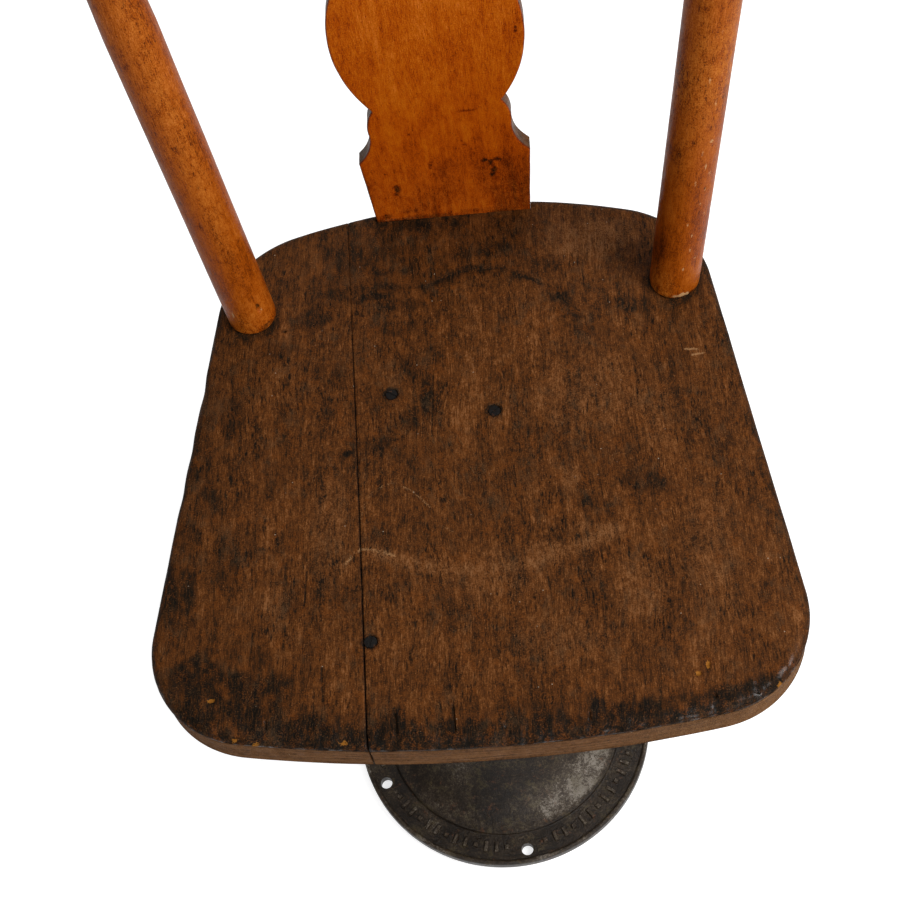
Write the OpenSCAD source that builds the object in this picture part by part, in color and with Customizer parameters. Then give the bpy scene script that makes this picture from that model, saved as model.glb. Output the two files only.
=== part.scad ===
// Floor-bolted side chair. A seat of two boards stands on a hollow cast iron pedestal,
// and two turned posts, a vase-shaped splat and a bowed crest rail make the back.
// Millimetres, +Z up, front towards -Y. The origin is the centre of the underside of the
// floor flange.

/* [Seat] */
// Height of the top of the seat above the floor
seat_height = 420; // [380:1:510]
// Thickness of the seat boards
seat_t = 28; // [23:1:34]
// Depth of the seat, from its front edge to its back edge
seat_depth = 384; // [320:1:461]
// Distance from the pedestal's axis forward to the front edge
seat_front = 165; // [140:1:200]
// Distance that the seat's middle line lies to the right of the pedestal's axis
seat_shift = 10; // [-15:1:15]
// Width between the side lines, taken level with the front edge
seat_front_w = 402; // [335:1:482]
// Width between the side lines, taken level with the back edge
seat_back_w = 305; // [290:1:366]
// Radius of the bow of the front edge
front_bow_r = 864; // [720:1:1500]
// Radius of the two front corners
front_corner_r = 63; // [30:1:76]
// Radius of the bow of the back edge
back_bow_r = 386; // [321:1:600]
// Radius of the two back corners
back_corner_r = 70; // [40:1:84]
// Distance from the seat's middle line left to the seam between the boards
seam_left = 68; // [50:1:82]
// Angle that the seam is turned away from straight front to back
seam_skew = 1.9; // [0:0.1:3]
// Diameter of the shallow dish worked into the top of the seat
dish_d = 300; // [250:1:330]
// Depth of the dish at its middle
dish_depth = 3.5; // [1:0.5:6]
// Distance from the pedestal's axis back to the middle of the dish
dish_y = 5; // [-20:1:30]

/* [Seat dowels] */
// Diameter of the dowels that join the two boards
dowel_d = 10; // [8:1:12]
// Length of a dowel
dowel_len = 60; // [40:1:72]
// Distance from the front dowel to the back dowel
dowel_span = 265; // [220:1:300]
// Distance from the middle of the seat's depth forward to the middle dowel
dowel_shift = 10; // [0:1:20]

/* [Posts] */
// Diameter of a back post
post_d = 32; // [28:1:38]
// Diameter of a back post where it meets the crest rail
post_top_d = 24; // [22:1:26]
// Length over which a post narrows towards the crest rail
post_taper = 130; // [80:1:160]
// Distance between the axes of the two posts at the top of the seat
post_spacing = 276; // [240:1:300]
// Distance from the seat's back edge forward to the posts' axes
post_inset = 79.5; // [66:0.5:95]
// Angle that the back leans back from upright
back_lean = 11.3; // [5:0.1:16]
// Angle that each post leans outwards, within the plane of the back
post_splay = 6; // [2:0.1:8]
// Distance up the back from the seat to the underside of the crest rail
back_rise = 350; // [320:1:420]
// Diameter of the tenon at a post's foot
foot_tenon_d = 22; // [18:1:26]
// Diameter of the tenon at a post's top
top_tenon_d = 18; // [14:0.5:19]
// Length of the tenon at a post's top
top_tenon_len = 40; // [30:1:50]
// Thickness of the wedge in a foot tenon at the underside of the seat
wedge_t = 3; // [2:0.5:4]
// Depth of the wedge in the foot tenon
wedge_depth = 18; // [12:1:20]

/* [Splat] */
// Thickness of the splat
splat_t = 12; // [9:0.5:14]
// Distance that the splat's middle line lies to the left of the seat's middle line
splat_shift = 3; // [0:0.5:8]
// Width of the splat where it meets the seat
splat_foot_w = 104; // [90:1:110]
// Width across the two pointed ears above the foot
splat_ear_w = 111; // [106:1:125]
// Height of the ears above the seat
splat_ear_h = 56; // [45:1:62]
// Radius of the hollow curve above each ear
splat_cove_r = 32; // [20:1:60]
// Width between the two places where the hollow curves turn into rounded shoulders
splat_waist_w = 91; // [84:1:96]
// Height of those two places above the seat
splat_waist_h = 80; // [72:1:86]
// Radius of the rounded shoulders above them
splat_shoulder_r = 30; // [16:1:60]
// Height of the cusps above the seat, where the shoulders meet the vase-shaped body
splat_cusp_h = 101; // [96:1:108]
// Greatest width of the vase-shaped body
splat_bulb_w = 117; // [110:1:130]
// Height of the body's widest part above the seat
splat_bulb_h = 157; // [148:1:166]
// Radius of the body's side
splat_bulb_r = 97; // [88:1:110]
// Width of the neck above the body
splat_neck_w = 44; // [40:1:60]
// Radius of the hollow side of the neck
splat_neck_r = 60; // [50:1:70]
// Width of the splat where it meets the crest rail
splat_top_w = 92; // [80:1:104]
// Depth of the splat's tongue in the crest rail
tongue_len = 14; // [10:1:20]

/* [Crest rail] */
// Height of the crest rail at its middle
crest_h = 78; // [70:1:94]
// Height of the crest rail at its ends
crest_end_h = 62; // [56:1:68]
// Thickness of the crest rail
crest_t = 26; // [25:1:30]
// Length of crest rail beyond each post's axis, at the rail's underside
crest_overhang = 27; // [24:1:34]
// Distance that the middle of the rail is bowed back
crest_bow = 22; // [10:1:28]
// Radius of the rail's lower end corners
crest_corner_r = 16; // [8:1:20]

/* [Pedestal] */
// Diameter of the floor flange
flange_d = 241; // [236:1:289]
// Thickness of the flange's flat ring
flange_t = 8; // [6:0.5:10]
// Diameter of the circle that the floor bolt holes lie on
bolt_circle_d = 219; // [214:1:224]
// Diameter of a floor bolt hole
floor_hole_d = 9.5; // [7:0.5:10]
// Number of floor bolt holes
floor_hole_count = 5; // [3:1:8]
// Angle of the first floor bolt hole, turned right from straight ahead
floor_hole_start = 7.4; // [0:0.1:72]
// Width of the raised bead around the flange's rim
bead_w = 4; // [3:0.5:5]
// Height of the bead above the flat ring
bead_rise = 1.6; // [1:0.2:3]
// Diameter of the foot of the bell, inside the flat ring
bell_d = 192; // [170:1:200]
// Height of the step from the flat ring up to the bell
bell_step = 2.5; // [1:0.5:5]
// Height above the floor where the bell runs into the column
bell_top = 150; // [110:1:180]
// Outer diameter of the column
column_d = 54; // [52:1:64]
// Thickness of the casting's wall
wall = 8; // [5:0.5:8.5]
// Distance from the top of the column up to the underside of the seat
hub_rise = 52; // [44:1:62]
// Diameter of the collar at the top of the column
collar_d = 66; // [64:1:76]
// Height of the collar
collar_h = 36; // [30:1:44]

/* [Seat spider] */
// Diameter of the spider's spigot, which stands in the column
spigot_d = 37.4; // [34:0.1:37.6]
// Length of the spigot below the top of the column
spigot_len = 56; // [44:1:70]
// Diameter of the spider's hub
hub_d = 58; // [52:1:64]
// Diameter of the hollow that runs up through the spigot and the hub
hub_core_d = 20; // [14:1:24]
// Thickness of the spider's arms
arm_t = 7; // [6:0.5:10]
// Width of the spider's arms
arm_w = 28; // [24:1:34]
// Distance from the hub's axis to the outer screw hole in each arm
arm_reach = 150; // [125:1:158]
// Angle between each arm and the straight line front to back
arm_angle = 27.5; // [20:0.5:35]
// Width of the stiffening rib under each arm
rib_w = 8; // [6:0.5:12]
// Depth of the rib at the hub
rib_h = 24; // [16:1:30]

/* [Fasteners] */
// Diameter of the bolts that come down through the seat
seat_bolt_d = 4.8; // [4:0.1:6]
// Diameter of the seat bolts' countersunk heads
seat_bolt_head_d = 8; // [7:0.5:12]
// Distance from the hub's axis to the three seat bolts: right back, left back, left front
seat_bolt_reach = [60, 80, 110];
// Diameter of the wood screws that hold the spider to the seat
wood_screw_d = 5; // [4:0.5:6]
// Length of a wood screw below its head
wood_screw_len = 28; // [20:1:30]
// Distance from the hub's axis to the inner wood screws in the two front arms
inner_screw_reach = 66; // [60:1:80]
// Diameter of the cross bolt that holds the spigot in the collar
cross_bolt_d = 8; // [6:1:10]
// Width across the flats of the cross bolt's square head and nut
cross_bolt_af = 13; // [12:1:16]
// Diameter of the pegs through the crest rail
peg_d = 6; // [5:0.5:8]
// Diameter of the screws that hold the splat's foot
splat_screw_d = 4; // [3:0.5:5]
// Distance between neighbouring splat screws
splat_screw_pitch = 36; // [30:1:40]
// Diameter of the brads that hold the splat's tongue
brad_d = 2.5; // [2:0.1:3]

/* [Clearances] */
// Gap around a glued or driven wood joint
wood_fit = 0.05; // [0.02:0.01:0.2]
// Gap between a bolt or spigot and its hole
metal_fit = 0.3; // [0.1:0.05:0.5]

/* [Hidden] */
$fn = 96;
cut = 1;             // how far a cutter runs past the face that it opens
big = 1000;          // side of a box that cuts away everything beyond a plane

seat_under = seat_height - seat_t;
seat_back = seat_depth - seat_front;
post_y = seat_back - post_inset;
column_top = seat_under - hub_rise;
bolt_z = column_top - collar_h / 2;
bore_d = column_d - 2 * wall;
dish_r = (dish_d * dish_d / 4 + dish_depth * dish_depth) / (2 * dish_depth);

// Points along an arc about the centre c, from angle a to angle b.
function arc(c, r, a, b, steps) =
    [for (i = [0 : steps]) let (t = a + (b - a) * i / steps)
        [c[0] + r * cos(t), c[1] + r * sin(t)]];

// Points along an arc from p to q. It bulges to the left of the way there, or to the right
// if r is negative.
function arc_between(p, q, r, steps) =
    let (mid = (p + q) / 2, half = norm(q - p) / 2, way = (q - p) / (2 * half),
         c = mid + sign(r) * sqrt(r * r - half * half) * [way[1], -way[0]],
         a = atan2(p[1] - c[1], p[0] - c[0]), b = atan2(q[1] - c[1], q[0] - c[0]),
         turn = r > 0 ? (b > a ? -360 : 0) : (b < a ? 360 : 0))
    arc(c, abs(r), a, b + turn, steps);

// Arcs that follow one another share their end points: each is kept once.
function once(points) =
    [for (i = [0 : len(points) - 1]) if (i == 0 || norm(points[i] - points[i - 1]) > 0.001)
        points[i]];

function flip_x(points) = [for (i = [len(points) - 1 : -1 : 0]) [-points[i][0], points[i][1]]];

// ---- Seat outline: two bows, four corner arcs and two straight sides ----

side_front = [seat_front_w / 2, -seat_front];
side_back = [seat_back_w / 2, seat_back];
side_way = (side_back - side_front) / norm(side_back - side_front);
side_in = [-side_way[1], side_way[0]];
side_angle = atan2(-side_in[1], -side_in[0]);

// Centre of a corner arc that touches the right side and, from inside, a bow of radius
// bow_r about [0, bow_y]. The sign picks the back corner (1) or the front corner (-1).
function corner_centre(bow_y, bow_r, r, sign) =
    let (start = side_front + r * side_in - [0, bow_y],
         along = start * side_way,
         gap = start * start - (bow_r - r) * (bow_r - r))
    [0, bow_y] + start + (-along + sign * sqrt(along * along - gap)) * side_way;

function seat_half() =
    let (front_y = front_bow_r - seat_front, back_y = seat_back - back_bow_r,
         f = corner_centre(front_y, front_bow_r, front_corner_r, -1),
         b = corner_centre(back_y, back_bow_r, back_corner_r, 1),
         f_angle = atan2(f[1] - front_y, f[0]),
         b_angle = atan2(b[1] - back_y, b[0]))
    concat(arc([0, front_y], front_bow_r, -90, f_angle, 8),
           arc(f, front_corner_r, f_angle, side_angle, 16),
           arc(b, back_corner_r, side_angle, b_angle, 16),
           arc([0, back_y], back_bow_r, b_angle, 90, 8));

module seat_blank() {
    half = seat_half();
    translate([seat_shift, 0, seat_under]) linear_extrude(seat_t)
        polygon(once(concat(half, flip_x([for (i = [1 : len(half) - 2]) half[i]]))));
}

// How far the dish lowers the top of the seat at a distance d from the dish's middle.
function dish_drop(d) =
    max(0, dish_depth - dish_r + sqrt(dish_r * dish_r - d * d));

module dish() {
    rim_angle = asin(dish_d / (2 * dish_r));
    translate([seat_shift, dish_y, seat_height]) rotate_extrude() polygon(concat(
        arc([0, dish_r - dish_depth], dish_r, -90, rim_angle - 90, 8),
        [[dish_d / 2, dish_depth], [0, dish_depth]]));
}

// Children are placed on the seam, which runs along their Y axis.
module at_seam() {
    translate([seat_shift - seam_left, 0, 0]) rotate([0, 0, seam_skew]) children();
}

// ---- Frames of the back ----

// The plane of the two posts, with its origin between their feet on top of the seat.
module back_frame() {
    translate([seat_shift, post_y, seat_height]) rotate([-back_lean, 0, 0]) children();
}

// One post's own axis as Z, with its foot on top of the seat. The side is -1 or 1.
module post_frame(side) {
    back_frame() translate([side * post_spacing / 2, 0, 0])
        rotate([0, side * post_splay, 0]) children();
}

// Length of a post along its own axis, from the seat to the underside of the crest rail.
post_len = back_rise / cos(post_splay);

// The splat leans so that its middle plane meets the middle of the crest rail's underside.
splat_y = seat_back - splat_t / 2;
crest_mid_y = post_y + back_rise * sin(back_lean) + crest_bow * cos(back_lean);
crest_mid_z = back_rise * cos(back_lean) - crest_bow * sin(back_lean);
splat_lean = atan((crest_mid_y - splat_y) / crest_mid_z);
splat_rise = norm([crest_mid_y - splat_y, crest_mid_z]);

module splat_frame() {
    translate([seat_shift - splat_shift, splat_y, seat_height]) rotate([-splat_lean, 0, 0])
        children();
}

// Everything above the underside of the crest rail.
module above_crest_underside() {
    back_frame() translate([-big / 2, -big / 2, back_rise]) cube(big);
}

// ---- Fastener positions ----

// Arms are numbered right back, left back, left front, right front.
arm_turn = [90 - arm_angle, 90 + arm_angle, 270 - arm_angle, 270 + arm_angle];
function on_arm(i, reach) = reach * [cos(arm_turn[i]), sin(arm_turn[i])];
seat_bolt_places = [for (i = [0 : 2]) on_arm(i, seat_bolt_reach[i])];
// The left front arm's bolt is near its end, so its second screw is nearer the hub.
screw_places = [on_arm(0, arm_reach), on_arm(1, arm_reach), on_arm(2, inner_screw_reach),
                on_arm(3, inner_screw_reach), on_arm(2, arm_reach), on_arm(3, arm_reach)];
splat_screw_places = [-splat_screw_pitch, 0, splat_screw_pitch];
splat_screw_z = -seat_t / 2;
splat_screw_reach = 30;     // how far a splat screw runs into the seat's edge
brad_places = [-18, 18];
peg_z = back_rise + top_tenon_len / 2;
peg_x = post_spacing / 2 + peg_z * tan(post_splay);

// ---- Pedestal ----

// Outline of the bell, from the flat ring up to the column, as a quarter of an ellipse.
// The inner face is the same curve set in by the wall.
function bell_curve(inset, steps) =
    let (wide = (bell_d - column_d) / 2 + inset, foot = flange_t + bell_step,
         high = bell_top - foot + inset)
    [for (i = [0 : steps]) let (t = 90 * i / steps)
        [bell_d / 2 - wide * sin(t), bell_top - high * cos(t)]];

module pedestal_profile() {
    rim = flange_d / 2;
    foot_wall = 4;          // iron between the hollow and the foot of the bell
    hollow = [for (p = bell_curve(wall, 24)) if (p[0] < bell_d / 2 - foot_wall) p];
    polygon(concat(
        [[rim, 0]],
        arc([rim - bead_w / 2, flange_t + bead_rise - bead_w / 2], bead_w / 2, 0, 180, 8),
        [[rim - bead_w, flange_t], [bell_d / 2, flange_t]],
        bell_curve(0, 24),
        [[column_d / 2, column_top - collar_h - (collar_d - column_d) / 2],
         [collar_d / 2, column_top - collar_h], [collar_d / 2, column_top],
         [bore_d / 2, column_top]],
        [for (i = [len(hollow) - 1 : -1 : 0]) hollow[i]],
        [[bell_d / 2 - foot_wall, hollow[0][1]], [bell_d / 2 - foot_wall, 0]]));
}

boss_rim = 3.5;                             // how far the boss reaches past the bolt's flats
boss_rise = 3;                              // how far the boss stands out of the collar
boss_d = cross_bolt_af + 2 * boss_rim;      // boss that the bolt head and nut sit on
boss_face = collar_d / 2 + boss_rise;       // distance of the boss's face from the axis

module pedestal() color([0.20, 0.18, 0.17]) difference() {
    union() {
        rotate_extrude() pedestal_profile();
        difference() {
            translate([-boss_face, 0, bolt_z]) rotate([0, 90, 0])
                cylinder(h = 2 * boss_face, d = boss_d);
            translate([0, 0, bolt_z - boss_d]) cylinder(h = 2 * boss_d, d = bore_d);
        }
    }
    translate([-boss_face - cut, 0, bolt_z]) rotate([0, 90, 0])
        cylinder(h = 2 * (boss_face + cut), d = cross_bolt_d + 2 * metal_fit);
    for (i = [0 : floor_hole_count - 1])
        rotate([0, 0, floor_hole_start + i * 360 / floor_hole_count])
            translate([0, -bolt_circle_d / 2, -cut])
                cylinder(h = flange_t + 2 * cut, d = floor_hole_d);
}

// ---- Seat spider and its fasteners ----

module spider_arm(turn) {
    arm_end = arm_reach + arm_w / 2;
    rotate([0, 0, turn]) {
        translate([0, -arm_w / 2, seat_under - arm_t]) cube([arm_reach, arm_w, arm_t]);
        translate([arm_reach, 0, seat_under - arm_t]) cylinder(h = arm_t, d = arm_w);
        translate([0, rib_w / 2, seat_under - arm_t]) rotate([90, 0, 0])
            linear_extrude(rib_w)
                polygon([[0, 0], [rib_end, 0], [hub_d / 2, -rib_h], [0, -rib_h]]);
    }
}
hub_cap_t = 14;         // iron above the hollow, under the seat
// The ribs stop short of the nearest nut, which they would otherwise cover.
rib_end = min(seat_bolt_reach) - seat_bolt_head_d;

module seat_spider() color([0.25, 0.24, 0.23]) difference() {
    union() {
        translate([0, 0, column_top]) cylinder(h = hub_rise, d = hub_d);
        translate([0, 0, column_top - spigot_len])
            cylinder(h = spigot_len + hub_rise, d = spigot_d);
        for (turn = arm_turn) spider_arm(turn);
    }
    translate([0, 0, column_top - spigot_len - cut])
        cylinder(h = spigot_len + hub_rise - hub_cap_t + cut, d = hub_core_d);
    translate([-spigot_d, 0, bolt_z]) rotate([0, 90, 0])
        cylinder(h = 2 * spigot_d, d = cross_bolt_d + 2 * metal_fit);
    for (p = seat_bolt_places) translate([p[0], p[1], seat_under - arm_t - cut])
        cylinder(h = arm_t + 2 * cut, d = seat_bolt_d + 2 * metal_fit);
    for (p = screw_places) translate([p[0], p[1], seat_under - arm_t - cut])
        cylinder(h = arm_t + 2 * cut, d = wood_screw_d + 2 * metal_fit);
}

cross_head_h = 5.5;
cross_nut_h = 6.5;
bolt_end = 3;                       // how far a bolt's end stands out of its nut

module spider_bolt() color([0.33, 0.30, 0.28])
    translate([-boss_face - cross_nut_h - bolt_end, 0, bolt_z]) rotate([0, 90, 0]) {
        cylinder(h = 2 * boss_face + cross_nut_h + bolt_end, d = cross_bolt_d);
        translate([-cross_bolt_af / 2, -cross_bolt_af / 2, 2 * boss_face + cross_nut_h + bolt_end])
            cube([cross_bolt_af, cross_bolt_af, cross_head_h]);
    }

module spider_nut() color([0.33, 0.30, 0.28]) difference() {
    translate([-boss_face - cross_nut_h, -cross_bolt_af / 2, bolt_z - cross_bolt_af / 2])
        cube([cross_nut_h, cross_bolt_af, cross_bolt_af]);
    translate([-boss_face - cross_nut_h - cut, 0, bolt_z]) rotate([0, 90, 0])
        cylinder(h = cross_nut_h + 2 * cut, d = cross_bolt_d + 2 * wood_fit);
}

screw_head_h = 3;

// A round-headed screw that points up from the plane of its head's bearing face.
module round_head_screw(d, len) {
    point = d;
    cylinder(h = len - point, d = d);
    translate([0, 0, len - point]) cylinder(h = point, d1 = d, d2 = d / 4);
    intersection() {
        translate([0, 0, -screw_head_h]) cylinder(h = screw_head_h, d = 2 * d);
        translate([0, 0, d * d / (2 * screw_head_h) - screw_head_h / 2])
            sphere(d * d / (2 * screw_head_h) + screw_head_h / 2);
    }
}

module spider_screws() color([0.40, 0.35, 0.30])
    for (p = screw_places) translate([p[0], p[1], seat_under - arm_t])
        round_head_screw(wood_screw_d, wood_screw_len);

module seat_bolt_blank(grow) {
    head_h = (seat_bolt_head_d - seat_bolt_d) / 2;
    for (p = seat_bolt_places) {
        head_z = seat_height - dish_drop(norm([p[0] - seat_shift, p[1] - dish_y]));
        translate([p[0], p[1], head_z - head_h])
            cylinder(h = head_h, d1 = seat_bolt_d + 2 * grow, d2 = seat_bolt_head_d + 2 * grow);
        translate([p[0], p[1], seat_under - arm_t - seat_nut_h - bolt_end])
            cylinder(h = head_z - seat_under + arm_t + seat_nut_h + bolt_end - head_h / 2,
                     d = seat_bolt_d + 2 * grow);
    }
}
seat_nut_h = 4;

module seat_bolts() color([0.22, 0.20, 0.19]) seat_bolt_blank(0);

module seat_bolt_nuts() color([0.33, 0.30, 0.28]) difference() {
    for (p = seat_bolt_places)
        translate([p[0] - seat_bolt_head_d / 2, p[1] - seat_bolt_head_d / 2,
                   seat_under - arm_t - seat_nut_h])
            cube([seat_bolt_head_d, seat_bolt_head_d, seat_nut_h]);
    seat_bolt_blank(wood_fit);
}

// ---- Seat boards ----

module seat_cuts() {
    dish();
    seat_bolt_blank(wood_fit);
    // Above the head, the hole stays open to the top.
    for (p = seat_bolt_places) translate([p[0], p[1], seat_height - dish_depth])
        cylinder(h = 2 * dish_depth, d = seat_bolt_head_d + 2 * wood_fit);
    for (p = screw_places) translate([p[0], p[1], seat_under - cut])
        cylinder(h = wood_screw_len - arm_t + 2 * cut, d = wood_screw_d + 2 * wood_fit);
    for (side = [-1, 1]) post_frame(side)
        translate([0, 0, -2 * seat_t]) cylinder(h = 3 * seat_t, d = foot_tenon_d + 2 * wood_fit);
    dowel_blank(wood_fit);
    splat_frame() {
        translate([-splat_foot_w / 2 - wood_fit, -splat_t / 2 - wood_fit, -2 * seat_t])
            cube([splat_foot_w + 2 * wood_fit, 4 * splat_t, 3 * seat_t]);
        for (x = splat_screw_places) translate([x, -splat_t / 2 + cut, splat_screw_z])
            rotate([90, 0, 0])
                cylinder(h = splat_screw_reach + 2 * cut, d = splat_screw_d + 2 * wood_fit);
    }
}

module dowel_blank(grow) at_seam()
    for (i = [-1 : 1])
        translate([-dowel_len / 2 - grow, dowel_mid + i * dowel_span / 2, seat_under + seat_t / 2])
            rotate([0, 90, 0]) cylinder(h = dowel_len + 2 * grow, d = dowel_d + 2 * grow);
dowel_mid = seat_depth / 2 - seat_front - dowel_shift;

module seat_board_left() color([0.36, 0.22, 0.13]) difference() {
    seat_blank();
    at_seam() translate([0, -big / 2, 0]) cube(big);
    seat_cuts();
}

module seat_board_right() color([0.38, 0.23, 0.13]) difference() {
    seat_blank();
    at_seam() translate([-big, -big / 2, 0]) cube(big);
    seat_cuts();
}

module seat_dowels() color([0.72, 0.55, 0.36]) dowel_blank(0);

// ---- Posts ----

module wedge_blank(side, grow) post_frame(side)
    translate([-foot_tenon_d, 0, 0]) rotate([90, 0, 90])
        linear_extrude(2 * foot_tenon_d) polygon([
            [-wedge_t / 2 - grow, -seat_t * 2], [wedge_t / 2 + grow, -seat_t * 2],
            [wedge_t / 2 + grow, -wedge_from], [wedge_t / 8 + grow, wedge_depth - wedge_from],
            [-wedge_t / 8 - grow, wedge_depth - wedge_from], [-wedge_t / 2 - grow, -wedge_from]]);
wedge_from = seat_t;

module below_seat() {
    translate([-big / 2, -big / 2, seat_under - big]) cube(big);
}

module back_post(side) difference() {
    union() {
        difference() {
            post_frame(side) {
                straight = post_len - post_taper;
                translate([0, 0, -seat_t]) cylinder(h = seat_t + straight, d = post_d);
                translate([0, 0, straight])
                    cylinder(h = post_taper, d1 = post_d, d2 = post_top_d);
                translate([0, 0, post_len]) cylinder(h = post_top_d, d = post_top_d);
            }
            above_crest_underside();
            translate([-big / 2, -big / 2, seat_height - big]) cube(big);
        }
        difference() {
            post_frame(side) translate([0, 0, -2 * seat_t])
                cylinder(h = 3 * seat_t, d = foot_tenon_d);
            below_seat();
        }
        post_frame(side) translate([0, 0, post_len / 2])
            cylinder(h = post_len / 2 + top_tenon_len, d = top_tenon_d);
    }
    wedge_blank(side, wood_fit);
    peg_holes();
}

module peg_holes() back_frame()
    for (side = [-1, 1]) translate([side * peg_x, crest_t, peg_z]) rotate([90, 0, 0])
        cylinder(h = 2 * crest_t, d = peg_d + 2 * wood_fit);

module back_post_left() color([0.66, 0.36, 0.14]) back_post(-1);

module back_post_right() color([0.66, 0.36, 0.14]) back_post(1);

module post_wedges() color([0.45, 0.28, 0.15])
    for (side = [-1, 1]) difference() {
        intersection() {
            wedge_blank(side, 0);
            post_frame(side) translate([0, 0, -2 * seat_t])
                cylinder(h = 2 * seat_t, d = foot_tenon_d);
        }
        below_seat();
    }

// ---- Splat ----

function splat_half() =
    let (bulb_x = splat_bulb_w / 2 - splat_bulb_r,
         neck_x = splat_neck_w / 2 + splat_neck_r,
         touch = splat_bulb_r + splat_neck_r,
         neck_h = splat_bulb_h + sqrt(touch * touch - (neck_x - bulb_x) * (neck_x - bulb_x)),
         meet = atan2(neck_h - splat_bulb_h, neck_x - bulb_x),
         cusp_angle = asin((splat_cusp_h - splat_bulb_h) / splat_bulb_r),
         waist = [splat_waist_w / 2, splat_waist_h],
         cusp = [bulb_x + splat_bulb_r * cos(cusp_angle), splat_cusp_h],
         flare = acos((neck_x - splat_top_w / 2) / splat_neck_r))
    concat([[splat_foot_w / 2, -2 * seat_t], [splat_foot_w / 2, 0]],
           arc_between([splat_ear_w / 2, splat_ear_h], waist, splat_cove_r, 8),
           arc_between(waist, cusp, -splat_shoulder_r, 6),
           arc([bulb_x, splat_bulb_h], splat_bulb_r, cusp_angle, meet, 20),
           arc([neck_x, neck_h], splat_neck_r, 180 + meet, 180 - flare, 16),
           [[splat_top_w / 2, splat_rise + 2 * tongue_len]]);

module splat_blank() splat_frame() translate([0, splat_t / 2, 0]) rotate([90, 0, 0])
    linear_extrude(splat_t) polygon(once(concat(splat_half(), flip_x(splat_half()))));

// Everything deeper in the crest rail than the tongue may reach.
module above_tongue(depth) {
    back_frame() translate([-big / 2, -big / 2, back_rise + depth]) cube(big);
}

module back_splat() color([0.72, 0.40, 0.13]) difference() {
    splat_blank();
    above_tongue(tongue_len);
    below_seat();
    splat_frame() for (x = splat_screw_places) translate([x, splat_t, splat_screw_z])
        rotate([90, 0, 0]) cylinder(h = 2 * splat_t, d = splat_screw_d + 2 * wood_fit);
    brad_blank(wood_fit);
}

module splat_screws() color([0.40, 0.35, 0.30]) splat_frame()
    for (x = splat_screw_places) translate([x, splat_t / 2, splat_screw_z]) rotate([90, 0, 0])
        round_head_screw(splat_screw_d, splat_t + splat_screw_reach);

// Brads run forward from the back of the crest rail through the tongue.
module at_brads() back_frame()
    for (x = brad_places)
        translate([x - splat_shift, crest_bow + crest_t / 2, back_rise + tongue_len / 2]) children();

module brad_blank(grow) at_brads()
    rotate([90, 0, 0]) cylinder(h = crest_t - brad_cover, d = brad_d + 2 * grow);
brad_cover = 4;                     // wood left in front of a brad's point
brad_head_h = 0.8;

module splat_brads() color([0.30, 0.28, 0.27]) {
    brad_blank(0);
    at_brads() rotate([-90, 0, 0]) cylinder(h = brad_head_h, d = 2 * brad_d);
}

// ---- Crest rail ----

crest_span = post_spacing / 2 + (back_rise + crest_h / 2) * tan(post_splay);
crest_half = post_spacing / 2 + back_rise * tan(post_splay) + crest_overhang;
crest_r = (crest_span * crest_span + crest_bow * crest_bow) / (2 * crest_bow);
crest_top_r = (crest_half * crest_half + pow(crest_h - crest_end_h, 2))
              / (2 * (crest_h - crest_end_h));

// The rail seen from the front: a straight underside, round ends and a curved top.
module crest_face() intersection() {
    translate([0, crest_h - crest_top_r]) circle(crest_top_r, $fn = 360);
    union() {
        translate([-crest_half, crest_corner_r]) square([2 * crest_half, crest_h]);
        translate([-crest_half + crest_corner_r, 0])
            square([2 * (crest_half - crest_corner_r), 2 * crest_corner_r]);
        for (side = [-1, 1]) translate([side * (crest_half - crest_corner_r), crest_corner_r])
            circle(crest_corner_r);
    }
}

module crest_rail() color([0.60, 0.32, 0.12]) difference() {
    back_frame() translate([0, 0, back_rise]) intersection() {
        translate([0, crest_bow - crest_r, 0]) difference() {
            cylinder(h = crest_h, r = crest_r + crest_t / 2, $fn = 360);
            translate([0, 0, -cut])
                cylinder(h = crest_h + 2 * cut, r = crest_r - crest_t / 2, $fn = 360);
        }
        translate([0, crest_t * 3, 0]) rotate([90, 0, 0]) linear_extrude(crest_t * 6) crest_face();
    }
    for (side = [-1, 1]) post_frame(side) translate([0, 0, post_len / 2])
        cylinder(h = post_len / 2 + top_tenon_len + wood_fit, d = top_tenon_d + 2 * wood_fit);
    difference() {
        splat_frame() translate([-splat_top_w / 2 - wood_fit, -splat_t / 2 - wood_fit, 0])
            cube([splat_top_w + 2 * wood_fit, splat_t + 2 * wood_fit, 2 * splat_rise]);
        above_tongue(tongue_len + wood_fit);
    }
    peg_holes();
    brad_blank(wood_fit);
}

module crest_pegs() color([0.42, 0.24, 0.12]) back_frame()
    for (side = [-1, 1]) translate([side * peg_x, peg_mid_y, peg_z]) rotate([90, 0, 0])
        cylinder(h = peg_len, d = peg_d, center = true);
// The rail's two faces slant here, so a peg stands a little proud at both of its ends.
peg_mid_y = crest_bow - crest_r + sqrt(crest_r * crest_r - peg_x * peg_x);
peg_proud = 1.25;
peg_len = crest_t * crest_r / sqrt(crest_r * crest_r - peg_x * peg_x) + 2 * peg_proud;

pedestal();
seat_spider();
spider_bolt();
spider_nut();
spider_screws();
seat_board_left();
seat_board_right();
seat_dowels();
seat_bolts();
seat_bolt_nuts();
back_post_left();
back_post_right();
post_wedges();
back_splat();
splat_screws();
splat_brads();
crest_rail();
crest_pegs();
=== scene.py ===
"""The looks of an old side chair: a worn seat of two boards on a cast iron pedestal, with
orange-brown posts, a vase-shaped splat and a bowed crest rail.

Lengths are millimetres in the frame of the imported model, as in part.scad, and turn into metres
where a mesh is made. The seat lies in X and Y, the front towards -Y. Wear only ever takes wood or
iron away, so every piece stays inside its CAD solid.
"""

import itertools
from contextlib import contextmanager
from math import asin, acos, atan2, cos, hypot, pi, radians, sin, sqrt, tan

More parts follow.
